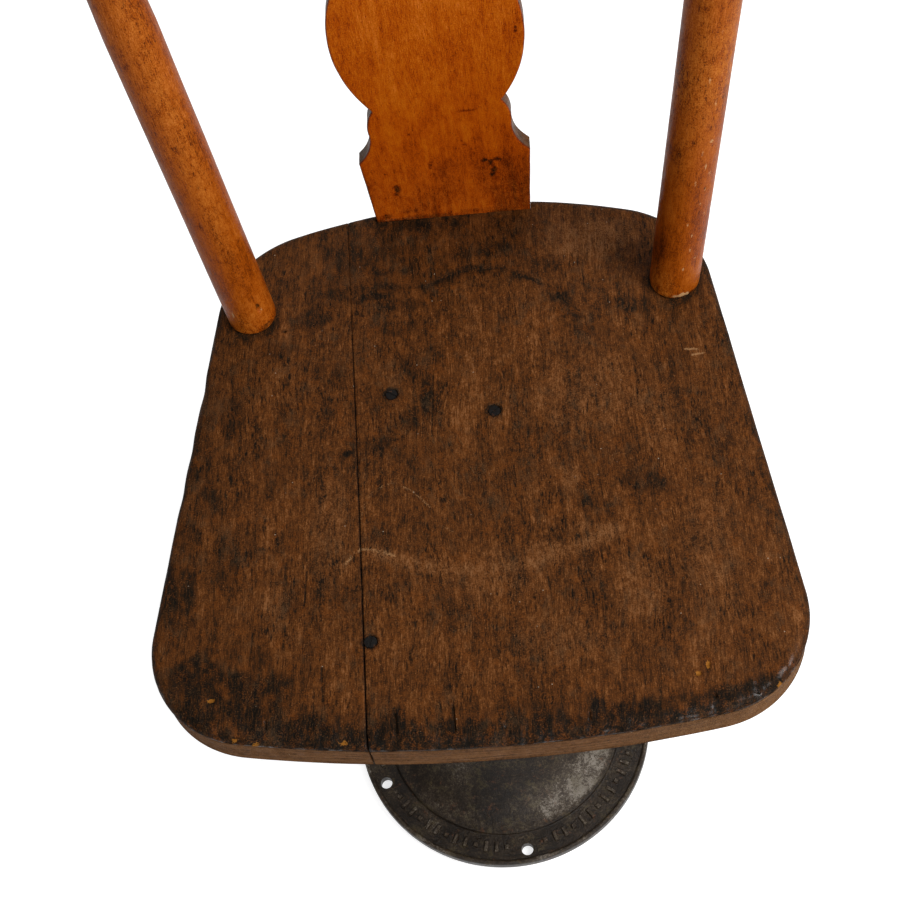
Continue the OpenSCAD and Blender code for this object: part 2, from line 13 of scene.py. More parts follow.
import bmesh
import bpy
import numpy as np
from mathutils import Matrix, Quaternion, Vector
from mathutils.geometry import delaunay_2d_cdt


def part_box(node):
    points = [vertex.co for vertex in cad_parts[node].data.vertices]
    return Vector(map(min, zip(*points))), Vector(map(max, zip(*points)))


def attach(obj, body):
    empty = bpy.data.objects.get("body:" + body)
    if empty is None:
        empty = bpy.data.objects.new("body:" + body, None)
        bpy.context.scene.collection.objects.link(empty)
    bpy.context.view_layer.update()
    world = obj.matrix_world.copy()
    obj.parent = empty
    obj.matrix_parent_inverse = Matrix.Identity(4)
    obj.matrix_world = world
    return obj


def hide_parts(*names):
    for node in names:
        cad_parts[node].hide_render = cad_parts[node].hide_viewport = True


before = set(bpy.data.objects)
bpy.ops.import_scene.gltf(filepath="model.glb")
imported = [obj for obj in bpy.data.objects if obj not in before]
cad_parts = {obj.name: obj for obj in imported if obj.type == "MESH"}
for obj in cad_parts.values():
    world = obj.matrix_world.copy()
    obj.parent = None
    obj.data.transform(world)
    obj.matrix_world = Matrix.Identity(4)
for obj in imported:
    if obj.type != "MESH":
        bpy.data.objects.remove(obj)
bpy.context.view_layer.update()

# ---- Sizes, as in part.scad ----

MM = 0.001
SAME_PLACE = 1e-6                # corners of a CAD mesh closer than this, in metres, are one

SEAT_TOP, SEAT_T = 420, 28
SEAT_UNDER = SEAT_TOP - SEAT_T
SEAT_FRONT, SEAT_BACK, SEAT_MID = -165, 219, 10
SEAT_FRONT_W, SEAT_BACK_W = 402, 305
FRONT_BOW_R, FRONT_CORNER_R = 864, 63
BACK_BOW_R, BACK_CORNER_R = 386, 70
SEAM_LEFT, SEAM_SKEW = 68, radians(1.9)
DISH_D, DISH_DEPTH, DISH_Y = 300, 3.5, 5

POST_R, POST_TOP_R, POST_TAPER = 16, 12, 130
POST_SPACING, POST_Y = 276, 139.5
BACK_LEAN, POST_SPLAY, BACK_RISE = radians(11.3), radians(6), 350
FOOT_TENON_R, TOP_TENON_R, TOP_TENON_LEN = 11, 9, 40
POST_LEN = BACK_RISE / cos(POST_SPLAY)

SPLAT_T, SPLAT_X = 12, 7
SPLAT_Y = SEAT_BACK - SPLAT_T / 2
FOOT_W, EAR_W, EAR_H, COVE_R = 104, 111, 56, 32
WAIST_W, WAIST_H, SHOULDER_R, CUSP_H = 91, 80, 30, 101
BULB_W, BULB_H, BULB_R = 117, 157, 97
NECK_W, NECK_R, SPLAT_TOP_W, TONGUE_LEN = 44, 60, 92, 14

CREST_H, CREST_END_H, CREST_T = 78, 62, 26
CREST_OVERHANG, CREST_BOW, CREST_CORNER_R = 27, 22, 16

FLANGE_R, FLANGE_T, BOLT_CIRCLE_R = 120.5, 8, 109.5
FLOOR_HOLE_R, FLOOR_HOLES, FLOOR_HOLE_START = 4.75, 5, radians(7.4)
BEAD_W, BEAD_RISE, BELL_R, BELL_STEP, BELL_TOP = 4, 1.6, 96, 2.5, 150
COLUMN_R, WALL, HUB_RISE, COLLAR_R, COLLAR_H = 27, 8, 52, 33, 36
COLUMN_TOP = SEAT_UNDER - HUB_RISE
CROSS_Z = COLUMN_TOP - COLLAR_H / 2
BOSS_R, BOSS_FACE, CROSS_BOLT_R = 10, 36, 4
ARM_ANGLE = radians(27.5)
SEAT_BOLT_R, SEAT_BOLT_HEAD_R, SEAT_BOLT_REACH = 2.4, 4, (60, 80, 110)

# ---- Numbers and fields over arrays of points ----


def lattice(cell, seed):
    """A fixed number from -1 to 1 for each whole-numbered cell."""
    mixed = cell[:, 0] * 73856093 ^ cell[:, 1] * 19349663 ^ cell[:, 2] * 83492791 ^ seed * 2654435
    mixed = (mixed ^ (mixed >> 13)) * 1274126177 & 0xFFFFFFFF
    mixed = (mixed ^ (mixed >> 15)) * 2246822519 & 0xFFFFFFFF
    return ((mixed >> 8) & 0xFFFF) / 32767.5 - 1


def noise(points, size, seed=0):
    """Smooth noise from -1 to 1. size is how long its lumps are: one length or one per axis."""
    scaled = in_space(points) / np.broadcast_to(np.array(size, float), 3)
    cell = np.floor(scaled).astype(np.int64)
    part = scaled - cell
    part = part * part * (3 - 2 * part)
    total = np.zeros(len(points))
    for corner in itertools.product((0, 1), repeat=3):
        weight = np.where(corner, part, 1 - part).prod(axis=1)
        total += weight * lattice(cell + np.array(corner), seed)
    return total


def in_space(points):
    """Points of a plane or of space as points of space."""
    if points.shape[1] == 3:
        return points
    return np.column_stack([points, np.zeros(len(points))])


def smooth(value, low, high):
    """0 at low, 1 at high and a smooth step between them, whichever is the greater."""
    step = np.clip((value - low) / (high - low), 0, 1)
    return step * step * (3 - 2 * step)


def spot(points, centre, radii):
    """1 at the centre, falling to 0 at the edge of an ellipse or ellipsoid with these radii."""
    away = np.linalg.norm((points[:, : len(centre)] - np.array(centre)) / np.array(radii), axis=1)
    return smooth(away, 1, 0)


def stroke(points, path, width):
    """1 on the line along path, falling to 0 at half its width to either side."""
    away = np.full(len(points), np.inf)
    for a, b in zip(path[:-1], path[1:]):
        start, way = np.array(a, float), np.array(b, float) - np.array(a, float)
        flat = points[:, : len(a)] - start
        share = np.clip(flat @ way / (way @ way), 0, 1)
        away = np.minimum(away, np.linalg.norm(flat - share[:, None] * way, axis=1))
    return smooth(away, width / 2, 0)


def patchy(points, size, seed, low, high):
    """Noise cut into patches: 0 where it is below low and 1 where it is above high."""
    return smooth(noise(points, size, seed), low, high)


def strongest(*layers):
    """The greatest of several fields at each point."""
    return np.maximum.reduce(layers)


def spots(points, table, ragged=1.0, low=0.0, high=0.9):
    """The strongest of a table of patches, each (x, y, radius in x, radius in y, strength)."""
    return strongest(*(strength * smooth(spot(points, (x, y), (rx, ry)) * ragged, low, high)
                       for x, y, rx, ry, strength in table))


def edge_distance(points, outline):
    """Distance from each point to the nearest place on a closed outline."""
    start = outline
    way = np.roll(outline, -1, axis=0) - outline
    length = (way * way).sum(axis=1)
    found = []
    for some in np.array_split(points, max(1, len(points) // 2000)):
        flat = some[:, None, :] - start
        share = np.clip((flat * way).sum(axis=2) / length, 0, 1)
        found.append(np.linalg.norm(flat - share[..., None] * way, axis=2).min(axis=1))
    return np.concatenate(found)


def inside(points, outline):
    """Whether each point lies inside a closed outline."""
    x, y = points[:, 0], points[:, 1]
    odd = np.zeros(len(points), bool)
    for (ax, ay), (bx, by) in zip(outline, np.roll(outline, -1, axis=0)):
        if ay != by:
            odd ^= ((ay > y) != (by > y)) & (x < ax + (y - ay) * (bx - ax) / (by - ay))
    return odd


def lip(distance, width, height):
    """How far a rounded edge lies below its face at a distance from the edge."""
    return height * (1 - np.sqrt(1 - (1 - np.clip(distance / width, 0, 1)) ** 2))


# ---- Outlines ----


def arc(centre, radius, start, end, pitch=2.0):
    """Points along an arc between two angles, without its last point."""
    steps = max(2, round(abs(end - start) * radius / pitch))
    turn = start + (end - start) * np.arange(steps) / steps
    return np.array(centre) + radius * np.column_stack([np.cos(turn), np.sin(turn)])


def line(start, end, pitch=2.0):
    """Points along a straight line, without its last point."""
    start, end = np.array(start, float), np.array(end, float)
    steps = max(1, round(np.linalg.norm(end - start) / pitch))
    return start + (end - start) * (np.arange(steps) / steps)[:, None]


def arc_between(start, end, radius, pitch=2.0):
    """An arc that bulges to the right of the way from start to end, or left if radius is
    negative."""
    start, end = np.array(start, float), np.array(end, float)
    half = np.linalg.norm(end - start) / 2
    way = (end - start) / (2 * half)
    side = np.sign(radius) * sqrt(radius**2 - half**2)
    centre = (start + end) / 2 + side * np.array([-way[1], way[0]])
    a = atan2(*(start - centre)[::-1])
    b = atan2(*(end - centre)[::-1])
    if radius > 0 and b < a:
        b += 2 * pi
    if radius < 0 and b > a:
        b -= 2 * pi
    return arc(centre, abs(radius), a, b, pitch)


def outward(outline):
    """Unit normals of a counterclockwise outline."""
    way = np.roll(outline, -1, axis=0) - np.roll(outline, 1, axis=0)
    normal = np.column_stack([way[:, 1], -way[:, 0]])
    return normal / np.linalg.norm(normal, axis=1)[:, None]


def mirrored(half):
    """A closed outline from its right half, which runs from the middle line to the middle line."""
    return np.vstack([half, (half[1:-1] * [-1, 1])[::-1]])


def grid(outline, pitch):
    """A triangular grid of points over the outline's box."""
    (left, low), (right, high) = outline.min(axis=0), outline.max(axis=0)
    rows = []
    for i, y in enumerate(np.arange(low, high, pitch * sqrt(0.75))):
        x = np.arange(left + (i % 2) * pitch / 2, right, pitch)
        rows.append(np.column_stack([x, np.full(len(x), y)]))
    return np.vstack(rows)


def inner_points(outline, rings, pitch):
    """Points inside an outline: rings at these distances from it and a grid over the rest."""
    found = []
    normal = outward(outline)
    for distance in rings:
        ring = outline - distance * normal
        found.append(ring[inside(ring, outline) & (edge_distance(ring, outline) > 0.97 * distance)])
    middle = grid(outline, pitch)
    middle = middle[inside(middle, outline)]
    found.append(middle[edge_distance(middle, outline) > rings[-1] + 0.5 * pitch])
    return np.vstack(found)


# ---- Meshes ----


def fill(outline, inner):
    """Triangles, counterclockwise, that fill a closed outline and use the inner points."""
    points = np.vstack([outline, inner])
    loop = list(range(len(outline)))
    edges = [(i, (i + 1) % len(outline)) for i in loop]
    found = delaunay_2d_cdt([Vector(p) for p in points], edges, [loop], 1, 1e-5)
    number = np.array([ids[0] for ids in found[3]])
    corners = number[np.array(found[2])]
    a, b, c = (points[corners[:, i]] for i in range(3))
    area = (b[:, 0] - a[:, 0]) * (c[:, 1] - a[:, 1]) - (b[:, 1] - a[:, 1]) * (c[:, 0] - a[:, 0])
    corners[area < 0] = corners[area < 0][:, ::-1]
    return corners


def add_object(name, data, location=(0, 0, 0), rotation=None):
    """An object in the scene that holds a mesh, a camera or a light."""
    made = bpy.data.objects.new(name, data)
    bpy.context.scene.collection.objects.link(made)
    made.location = location
    if rotation is not None:
        made.rotation_mode = "QUATERNION"
        made.rotation_quaternion = rotation
    return made


def add_mesh(name, points, faces):
    mesh = bpy.data.meshes.new(name)
    mesh.from_pydata((np.asarray(points) * MM).tolist(), [], faces)
    return add_object(name, mesh)


@contextmanager
def in_bmesh(mesh):
    """A mesh's bmesh, which goes back into the mesh when the with block ends."""
    work = bmesh.new()
    work.from_mesh(mesh)
    yield work
    work.to_mesh(mesh)
    work.free()


def slab(name, outline, top_inner, bottom_inner, place_top, place_bottom, walls):
    """A closed mesh from two faces that share an outline. The two functions place points of the
    outline's plane in space, and walls are the rings of points between the two outlines."""
    count = len(outline)
    top = place_top(np.vstack([outline, top_inner]))
    bottom = place_bottom(np.vstack([outline, bottom_inner]))
    points = np.vstack([top, *walls, bottom])
    below = len(top) + len(walls) * count
    faces = fill(outline, top_inner).tolist()
    faces += (fill(outline, bottom_inner)[:, ::-1] + below).tolist()
    starts = [0] + [len(top) + i * count for i in range(len(walls))] + [below]
    for upper, lower in zip(starts[:-1], starts[1:]):
        for i in range(count):
            j = (i + 1) % count
            faces.append((upper + i, lower + i, lower + j, upper + j))
    return add_mesh(name, points, faces)


def lathe(name, profile, segments, place=None, closed=False):
    """A turned solid about Z. The profile runs up the outside as (radius, height). A closed
    profile makes a ring; an open one starts and ends on the axis."""
    profile = np.array(profile, float)
    turn = 2 * pi * np.arange(segments) / segments
    rings = profile if closed else profile[1:-1]
    points = np.stack([np.outer(rings[:, 0], np.cos(turn)), np.outer(rings[:, 0], np.sin(turn)),
                       np.repeat(rings[:, 1:2], segments, axis=1)], axis=2).reshape(-1, 3)
    if not closed:
        points = np.vstack([points, [[0, 0, profile[0, 1]], [0, 0, profile[-1, 1]]]])
    if place is not None:
        points = place(points)
    faces = []
    count = len(rings)
    for i in range(count if closed else count - 1):
        k = (i + 1) % count
        for j in range(segments):
            m = (j + 1) % segments
            faces.append((i * segments + j, i * segments + m, k * segments + m, k * segments + j))
    if not closed:
        low, high, last = count * segments, count * segments + 1, (count - 1) * segments
        for j in range(segments):
            m = (j + 1) % segments
            faces.append((low, m, j))
            faces.append((last + j, last + m, high))
    return add_mesh(name, points, faces)


def cylinder(start, end, radius, segments=48):
    """A plain cylinder between two points, to cut with."""
    start, end = Vector(start), Vector(end)
    length = (end - start).length
    place = Matrix.Translation(start) @ (end - start).to_track_quat("Z", "Y").to_matrix().to_4x4()
    profile = [(0, 0), (radius, 0), (radius, length), (0, length)]
    return lathe("tool", profile, segments, lambda points: moved(points, place))


def moved(points, place):
    """Points carried by a 4 x 4 matrix in millimetres."""
    matrix = np.array(place)
    return points @ matrix[:3, :3].T + matrix[:3, 3]


def combine(piece, other, operation="DIFFERENCE"):
    """Cuts another mesh from a piece, or joins it on, and removes the other."""
    modifier = piece.modifiers.new("combine", "BOOLEAN")
    modifier.operation = operation
    modifier.solver = "MANIFOLD"
    modifier.object = other
    graph = bpy.context.evaluated_depsgraph_get()
    mesh = bpy.data.meshes.new_from_object(piece.evaluated_get(graph), depsgraph=graph)
    piece.modifiers.clear()
    piece.data = mesh
    bpy.data.objects.remove(other)


def grown(node, gap=0.1):
    """A copy of a CAD node, a little swollen, that cuts the hole it sits in."""
    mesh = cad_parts[node].data.copy()
    with in_bmesh(mesh) as work:
        bmesh.ops.remove_doubles(work, verts=work.verts, dist=SAME_PLACE)
        work.normal_update()
        for vertex in work.verts:
            vertex.co += vertex.normal * gap * MM
    return add_object("tool", mesh)


def points_of(piece):
    """A piece's points in millimetres."""
    found = np.empty(len(piece.data.vertices) * 3, np.float32)
    piece.data.vertices.foreach_get("co", found)
    return found.reshape(-1, 3).astype(float) / MM


def paint(piece, name, values):
    """Stores a number or a vector for each of a piece's points, for its material to read."""
    values = np.asarray(values, np.float32)
    kind, field = ("FLOAT", "value") if values.ndim == 1 else ("FLOAT_VECTOR", "vector")
    attribute = piece.data.attributes.new(name, kind, "POINT")
    attribute.data.foreach_set(field, values.ravel())


def paint_masks(piece, **masks):
    """Stores fields, each held between 0 and 1."""
    for name, values in masks.items():
        paint(piece, name, np.clip(values, 0, 1))


def finish_piece(piece, material, slot, *nodes, sharp=38):
    """Shades a piece, gives it its material, and sets it in the frame in place of CAD nodes."""
    piece.data.shade_smooth()
    piece.data.set_sharp_from_angle(angle=radians(sharp))
    piece.data.materials.clear()
    piece.data.materials.append(material)
    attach(piece, "root")
    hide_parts(*nodes)


# ---- Materials ----


class Graph:
    """A material's node tree, written as nested calls. Sizes are in millimetres."""

    def __init__(self, name, **constants):
        self.material = bpy.data.materials.new(name)
        self.material.use_nodes = True
        self.nodes = self.material.node_tree.nodes
        self.shader = self.nodes["Principled BSDF"]
        for socket, value in constants.items():
            self.shader.inputs[socket.replace("_", " ")].default_value = value

    def put(self, socket, value):
        """Links another node's output to a socket, or sets it to a number or a colour."""
        if isinstance(value, bpy.types.NodeSocket):
            self.material.node_tree.links.new(value, socket)
        elif isinstance(value, tuple) and len(value) == 3 and socket.type == "RGBA":
            socket.default_value = (*value, 1)
        else:
            socket.default_value = value

    def node(self, kind, *inputs, **settings):
        """A new node with its settings, and its first inputs put in. None leaves an input be."""
        made = self.nodes.new(kind)
        for name, value in settings.items():
            setattr(made, name, value)
        for socket, value in zip(made.inputs, inputs):
            if value is not None:
                self.put(socket, value)
        return made

    def field(self, name):
        """A number that paint() stored on the piece."""
        return self.node("ShaderNodeAttribute", attribute_name=name).outputs["Fac"]

    def place(self):
        """The point's place in its piece's own axes, in millimetres, as paint() stored it."""
        return self.node("ShaderNodeAttribute", attribute_name="local").outputs["Vector"]

    def row_place(self):
        """The point's place in the frame, in millimetres."""
        return self.scaled(self.node("ShaderNodeTexCoord").outputs["Object"], 1 / MM)

    def scaled(self, vector, amount):
        """A place or a colour times a number."""
        made = self.node("ShaderNodeVectorMath", vector, operation="SCALE")
        self.put(made.inputs["Scale"], amount)
        return made.outputs["Vector"]

    def in_units(self, where, sizes):
        """A place counted in these sizes along its three axes."""
        return self.node("ShaderNodeVectorMath", where, tuple(1 / size for size in sizes),
                         operation="MULTIPLY").outputs["Vector"]

    def noise(self, where, size, detail=3.0, rough=0.5, bend=0.0):
        """Noise from 0 to 1. size is how long its lumps are: one length or one per axis."""
        sizes = (size,) * 3 if isinstance(size, (int, float)) else size
        made = self.node("ShaderNodeTexNoise")
        for socket, value in (("Vector", self.in_units(where, sizes)), ("Scale", 1.0),
                              ("Detail", detail), ("Roughness", rough), ("Distortion", bend)):
            self.put(made.inputs[socket], value)
        return made.outputs["Fac"]

    def specks(self, where, pitch, radius):
        """Round specks, one to a cell of this pitch, of about half the cells."""
        made = self.node("ShaderNodeTexVoronoi")
        self.put(made.inputs["Vector"], self.in_units(where, (pitch,) * 3))
        self.put(made.inputs["Scale"], 1.0)
        near = self.step(made.outputs["Distance"], radius / pitch, 0.5 * radius / pitch)
        chosen = self.step(self.noise(where, pitch * 3, 0), 0.5, 0.56)
        return self.times(near, chosen)

    def maths(self, operation, *values):
        return self.node("ShaderNodeMath", *values, operation=operation).outputs[0]

    def times(self, a, b):
        return self.maths("MULTIPLY", a, b)

    def plus(self, a, b):
        return self.maths("ADD", a, b)

    def shifted(self, value, *parts):
        """A number plus each field times a weight."""
        for field, weight in parts:
            value = self.plus(value, self.times(field, weight))
        return value

    def step(self, value, low, high):
        """0 at low, 1 at high and a smooth step between, whichever is the greater."""
        limits = (low, high, 0.0, 1.0) if low < high else (high, low, 1.0, 0.0)
        return self.node("ShaderNodeMapRange", value, *limits,
                         interpolation_type="SMOOTHSTEP").outputs[0]

    def spread(self, value, low, high):
        """A noise, which mostly lies between 0.3 and 0.7, turned into one from low to high."""
        return self.node("ShaderNodeMapRange", value, 0.3, 0.7, low, high).outputs[0]

    def swung(self, base, *parts):
        """A number plus each noise's swing about its middle times a weight."""
        for noise, weight in parts:
            base = self.plus(base, self.maths("MULTIPLY_ADD", noise, weight, -0.5 * weight))
        return base

    def patches(self, noise, grain, low, high):
        """Patches of a noise, with edges broken up by a finer grain, given as (noise, weight)."""
        return self.step(self.swung(0.5, (noise, 1.0), grain), low, high)

    def ragged(self, mask, low, high, *parts):
        """A mask whose edge is broken up by the swings of noises."""
        return self.step(self.plus(mask, self.swung(0.0, *parts)), low, high)

    def ramp(self, value, *stops):
        """A colour read off a scale of (position, colour) stops."""
        made = self.node("ShaderNodeValToRGB", value)
        elements = made.color_ramp.elements
        elements[0].position, elements[1].position = stops[0][0], stops[-1][0]
        elements[0].color, elements[1].color = (*stops[0][1], 1), (*stops[-1][1], 1)
        for position, colour in stops[1:-1]:
            elements.new(position).color = (*colour, 1)
        return made.outputs[0]

    def wandering(self, where, size, reach):
        """A place pushed to and fro along X, so that a grain along Y or Z wanders."""
        push = self.swung(0.0, (self.noise(where, size, 2), 2 * reach))
        return self.node("ShaderNodeVectorMath", where,
                         self.node("ShaderNodeCombineXYZ", push).outputs[0]).outputs["Vector"]

    def turned(self, where, angle):
        """A place turned about Z by an angle in degrees."""
        made = self.node("ShaderNodeVectorRotate", where, rotation_type="Z_AXIS")
        self.put(made.inputs["Angle"], radians(angle))
        return made.outputs["Vector"]

    def over(self, below, share, colour):
        """A colour laid over another by a share."""
        made = self.node("ShaderNodeMix", data_type="RGBA")
        for socket, value in ((0, share), (6, below), (7, colour)):
            self.put(made.inputs[socket], value)
        return made.outputs[2]

    def coated(self, colour, *coats):
        """A colour under coats laid over each other, each as (share, weight, colour)."""
        for share, weight, coat in coats:
            colour = self.over(colour, self.times(share, weight), coat)
        return colour

    def done(self, colour, roughness=None, height=None):
        """Sets the shader's colour, roughness and height in mm, and returns the material."""
        self.put(self.shader.inputs["Base Color"], colour)
        if roughness is not None:
            self.put(self.shader.inputs["Roughness"], roughness)
        if height is not None:
            bump = self.node("ShaderNodeBump")
            self.put(bump.inputs["Distance"], MM)
            self.put(bump.inputs["Height"], height)
            self.put(self.shader.inputs["Normal"], bump.outputs[0])
        return self.material


def seat_wood():
    """Open-grained boards under an old dark finish. The grain runs along Y."""
    g = Graph("seat_wood", Specular_IOR_Level=0.07, Coat_Roughness=0.2)
    at = g.place()
    along = g.wandering(at, (50, 110, 50), 9)
    fine = g.noise(at, 0.85, 3, 0.75)
    streaks = g.noise(along, (0.9, 14, 0.9), 4, 0.65)
    threads = g.noise(along, (0.5, 4.5, 0.5), 2, 0.6)
    mottle = g.noise(at, (2.6, 4.2, 2.6), 4, 0.7)
    blotches = g.noise(at, (7, 19, 7), 4, 0.65, 0.4)
    bands = g.noise(along, (3.2, 85, 3.2), 4, 0.65)
    clouds = g.noise(at, (30, 70, 30), 4, 0.6)
    slanting = g.noise(g.turned(at, -24), (0.8, 12, 0.8), 3, 0.6)
    porous = g.step(g.noise(at, (18, 30, 18), 3), 0.42, 0.62)
    pores = g.step(g.noise(along, (1.1, 6.0, 1.1), 1.5, 0.5), 0.585, 0.645)
    pores = g.times(pores, g.swung(0.35, (porous, 1.1)))
    # Darkened by dirt, old finish and painted shade around the posts' feet; brightened by worn wood and a
    # painted sheen at the back right.
    dirt = g.field("dirt")
    caked_and_shaded = g.ragged(dirt, 0.35, 0.75, (mottle, 1.5), (fine, 0.8), (streaks, 1.0))

    tone = g.swung(0.57, (streaks, 0.85), (fine, 1.05), (threads, 0.65), (mottle, 0.95), (blotches, 0.85),
                   (bands, 0.60), (clouds, 0.6))
    tone = g.shifted(tone, (dirt, -0.20), (caked_and_shaded, -0.19), (g.field("worn"), 0.17), (pores, -0.36))
    colour = g.ramp(tone, (0.0, (0.005, 0.0035, 0.002)), (0.20, (0.015, 0.0080, 0.0034)),
                    (0.38, (0.040, 0.0137, 0.0032)), (0.56, (0.077, 0.0245, 0.0050)),
                    (0.76, (0.124, 0.0400, 0.0080)), (1.0, (0.225, 0.0880, 0.0280)))
    ruddy = g.patches(g.noise(at, (6, 9, 6), 4, 0.7), (fine, 0.7), 0.54, 0.68)
    dusty = g.patches(g.noise(at, (11, 15, 9), 4, 0.7, 0.3), (fine, 0.6), 0.54, 0.68)
    scratched = g.times(g.field("swirl"), g.step(g.swung(slanting, (fine, 0.3)), 0.56, 0.68))
    worn = g.times(g.field("worn"), g.step(g.swung(0.5, (fine, 1.6), (mottle, 1.2)), 0.30, 0.75))
    layers = g.noise(at, (50, 50, 1.1), 3, 0.65, 0.3)
    side = g.ramp(g.swung(0.5, (layers, 1.3), (fine, 0.8), (mottle, 0.8), (blotches, 0.6)),
                  (0.1, (0.040, 0.018, 0.008)), (0.5, (0.145, 0.064, 0.024)), (0.95, (0.240, 0.120, 0.052)))
    under = g.ramp(g.swung(0.5, (streaks, 1.0), (mottle, 0.8), (clouds, 0.8)),
                   (0.1, (0.070, 0.034, 0.016)), (0.9, (0.230, 0.120, 0.055)))
    chip = g.ragged(g.field("chip"), 0.35, 0.6, (fine, 1.2), (mottle, 0.8))
    pale = g.ragged(g.field("pale"), 0.25, 0.95, (fine, 2.4), (threads, 1.0))
    colour = g.coated(colour,
                      (ruddy, 0.46, (0.150, 0.041, 0.0050)),
                      (dusty, 0.32, (0.080, 0.043, 0.0190)),
                      (scratched, 0.34, (0.160, 0.090, 0.038)),
                      (worn, 0.60, (0.215, 0.098, 0.038)),
                      (g.field("band"), 1.0, side),
                      (g.field("under"), 1.0, under),
                      # Near-black in the open seam, and in the groove under the lip as dirt and painted
                      # shade.
                      (g.field("gap"), 1.0, (0.006, 0.004, 0.003)),
                      (chip, 0.85, (0.30, 0.115, 0.014)),
                      (pale, 0.65, (0.36, 0.19, 0.080)),
                      (g.specks(at, 8, 0.45), 0.7, (0.45, 0.36, 0.26)))

    gloss = g.field("gloss")
    g.put(g.shader.inputs["Coat Weight"], g.times(gloss, 0.28))
    rough = g.spread(g.noise(at, (5, 8, 5), 3, 0.6), 0.42, 0.72)
    rough = g.shifted(rough, (gloss, -0.32), (g.field("band"), 0.25))
    height = g.swung(0.0, (streaks, 0.30), (threads, 0.20), (fine, 0.16), (mottle, 0.25))
    return g.done(colour, rough, g.shifted(height, (pores, -0.25)))


def shellac_wood(name, light, middle, dark, low=0.0, shine=0.2, mark=1.0):
    """Close-grained wood under old orange shellac. The grain runs along the piece's own Z. light,
    middle and dark are its colours, low says how much darker the foot is than the top, and mark
    how strong the grain is."""
    g = Graph(name, Specular_IOR_Level=shine)
    at = g.place()
    along = g.wandering(at, (30, 30, 90), 5)
    fine = g.noise(at, (0.75, 0.75, 1.0), 3, 0.75)
    threads = g.noise(along, (0.55, 0.55, 5.5), 3, 0.65)
    streaks = g.noise(along, (2.4, 2.4, 45), 4, 0.6)
    grime = g.noise(at, (3.2, 3.2, 6.0), 5, 0.72, 0.4)
    clouds = g.noise(at, (16, 16, 34), 4, 0.6)
    pits = g.step(g.noise(at, (0.7, 0.7, 2.6), 1), 0.68, 0.73)

    tone = g.swung(0.55, (fine, 0.95 * mark), (threads, 0.50 * mark), (streaks, 0.45 * mark),
                   (grime, 0.70 * mark), (clouds, 0.75))
    height = g.node("ShaderNodeSeparateXYZ", at).outputs[2]
    upper_grain = g.swung(0.0, (fine, 0.5), (threads, 0.6))
    # Darkened by dirt and pits, painted shade at the posts' feet and painted shade on the splat's lower
    # right; brightened by worn wood and a painted highlight down the left post.
    tone = g.shifted(tone, (g.plus(g.step(height, 200, 0), -0.6), -low),
                     (g.step(height, 80, 160), upper_grain), (g.field("dirt"), -0.50),
                     (pits, -0.22 * mark))
    colour = g.ramp(tone, (0.0, (0.010, 0.004, 0.002)), (0.20, tuple(0.45 * c for c in dark)), (0.34, dark),
                    (0.54, middle), (0.80, light), (1.0, tuple(1.25 * c + 0.02 for c in light)))
    worn = g.times(g.field("worn"), g.step(g.swung(0.5, (fine, 1.4), (grime, 1.4)), 0.30, 0.75))
    end_grain = g.scaled((0.095, 0.050, 0.018), g.spread(grime, 0.5, 1.5))
    pale = g.ragged(g.field("pale"), 0.25, 0.75, (fine, 1.4))
    colour = g.coated(colour,
                      (g.specks(at, 11, 0.4), 0.75, (0.016, 0.006, 0.003)),
                      (worn, 0.6, (0.52, 0.165, 0.020)),
                      (g.field("raw"), 0.8, end_grain),
                      (pale, 0.8, (0.55, 0.33, 0.15)))

    rough = g.spread(g.noise(at, (3, 3, 6), 4, 0.65), 0.30, 0.56)
    height = g.swung(0.0, (threads, 0.14), (fine, 0.12), (grime, 0.14), (streaks, 0.12))
    return g.done(colour, rough, g.shifted(height, (pits, -0.10)))


def bare_wood(name, light, dark):
    """Unfinished wood. The grain runs along X of the frame."""
    g = Graph(name, Specular_IOR_Level=0.2)
    at = g.row_place()
    colour = g.ramp(g.swung(0.5, (g.noise(at, (14, 0.7, 0.7), 4, 0.6), 2.0), (g.noise(at, 0.8, 3), 1.0)),
                    (0.1, dark), (0.9, light))
    rough = g.spread(g.noise(at, 3, 2), 0.6, 0.8)
    return g.done(colour, rough, g.swung(0.0, (g.noise(at, (9, 0.6, 0.6), 2), 0.2)))


def cast_iron(name, tone=1.0):
    """Old cast iron: dark skin, dusty olive and rusty patches, paler worn places and a painted
    sheen. tone is how bright it is."""
    g = Graph(name, Specular_IOR_Level=0.28)
    at = g.row_place()
    fine = g.noise(at, 0.9, 3, 0.75)
    grit = g.noise(at, 2.0, 4, 0.72)
    patches = g.noise(at, 8, 5, 0.75, 0.4)
    clouds = g.noise(at, 26, 5, 0.62)
    shade = g.swung(0.47, (fine, 1.3), (grit, 1.4), (patches, 1.0), (clouds, 1.2))
    # Darkened by dirt, a painted shadow of the seat and painted shade in the bell's crease; brightened by
    # worn places and a painted sheen on the bell.
    shade = g.shifted(shade, (g.field("dirt"), -0.30), (g.field("worn"), 0.42))
    scale = ((0.0, (0.006, 0.0030, 0.0012)), (0.26, (0.013, 0.0075, 0.0036)),
             (0.50, (0.031, 0.0195, 0.0105)), (0.74, (0.063, 0.0450, 0.0290)), (1.0, (0.215, 0.185, 0.150)))
    colour = g.ramp(shade, *((position, tuple(tone * c for c in dye)) for position, dye in scale))
    olive = g.patches(g.noise(at, 13, 5, 0.7), (grit, 0.5), 0.52, 0.68)
    rust = g.patches(g.noise(at, 9, 5, 0.72, 0.4), (grit, 0.5), 0.60, 0.72)
    colour = g.coated(colour, (olive, 0.55, (0.064, 0.047, 0.018)), (rust, 0.7, (0.095, 0.035, 0.013)))
    rough = g.swung(g.spread(g.noise(at, 6, 4, 0.65), 0.28, 0.52), (fine, 0.3))
    height = g.swung(0.0, (grit, 0.55), (fine, 0.25), (patches, 0.4))
    return g.done(colour, rough, height)


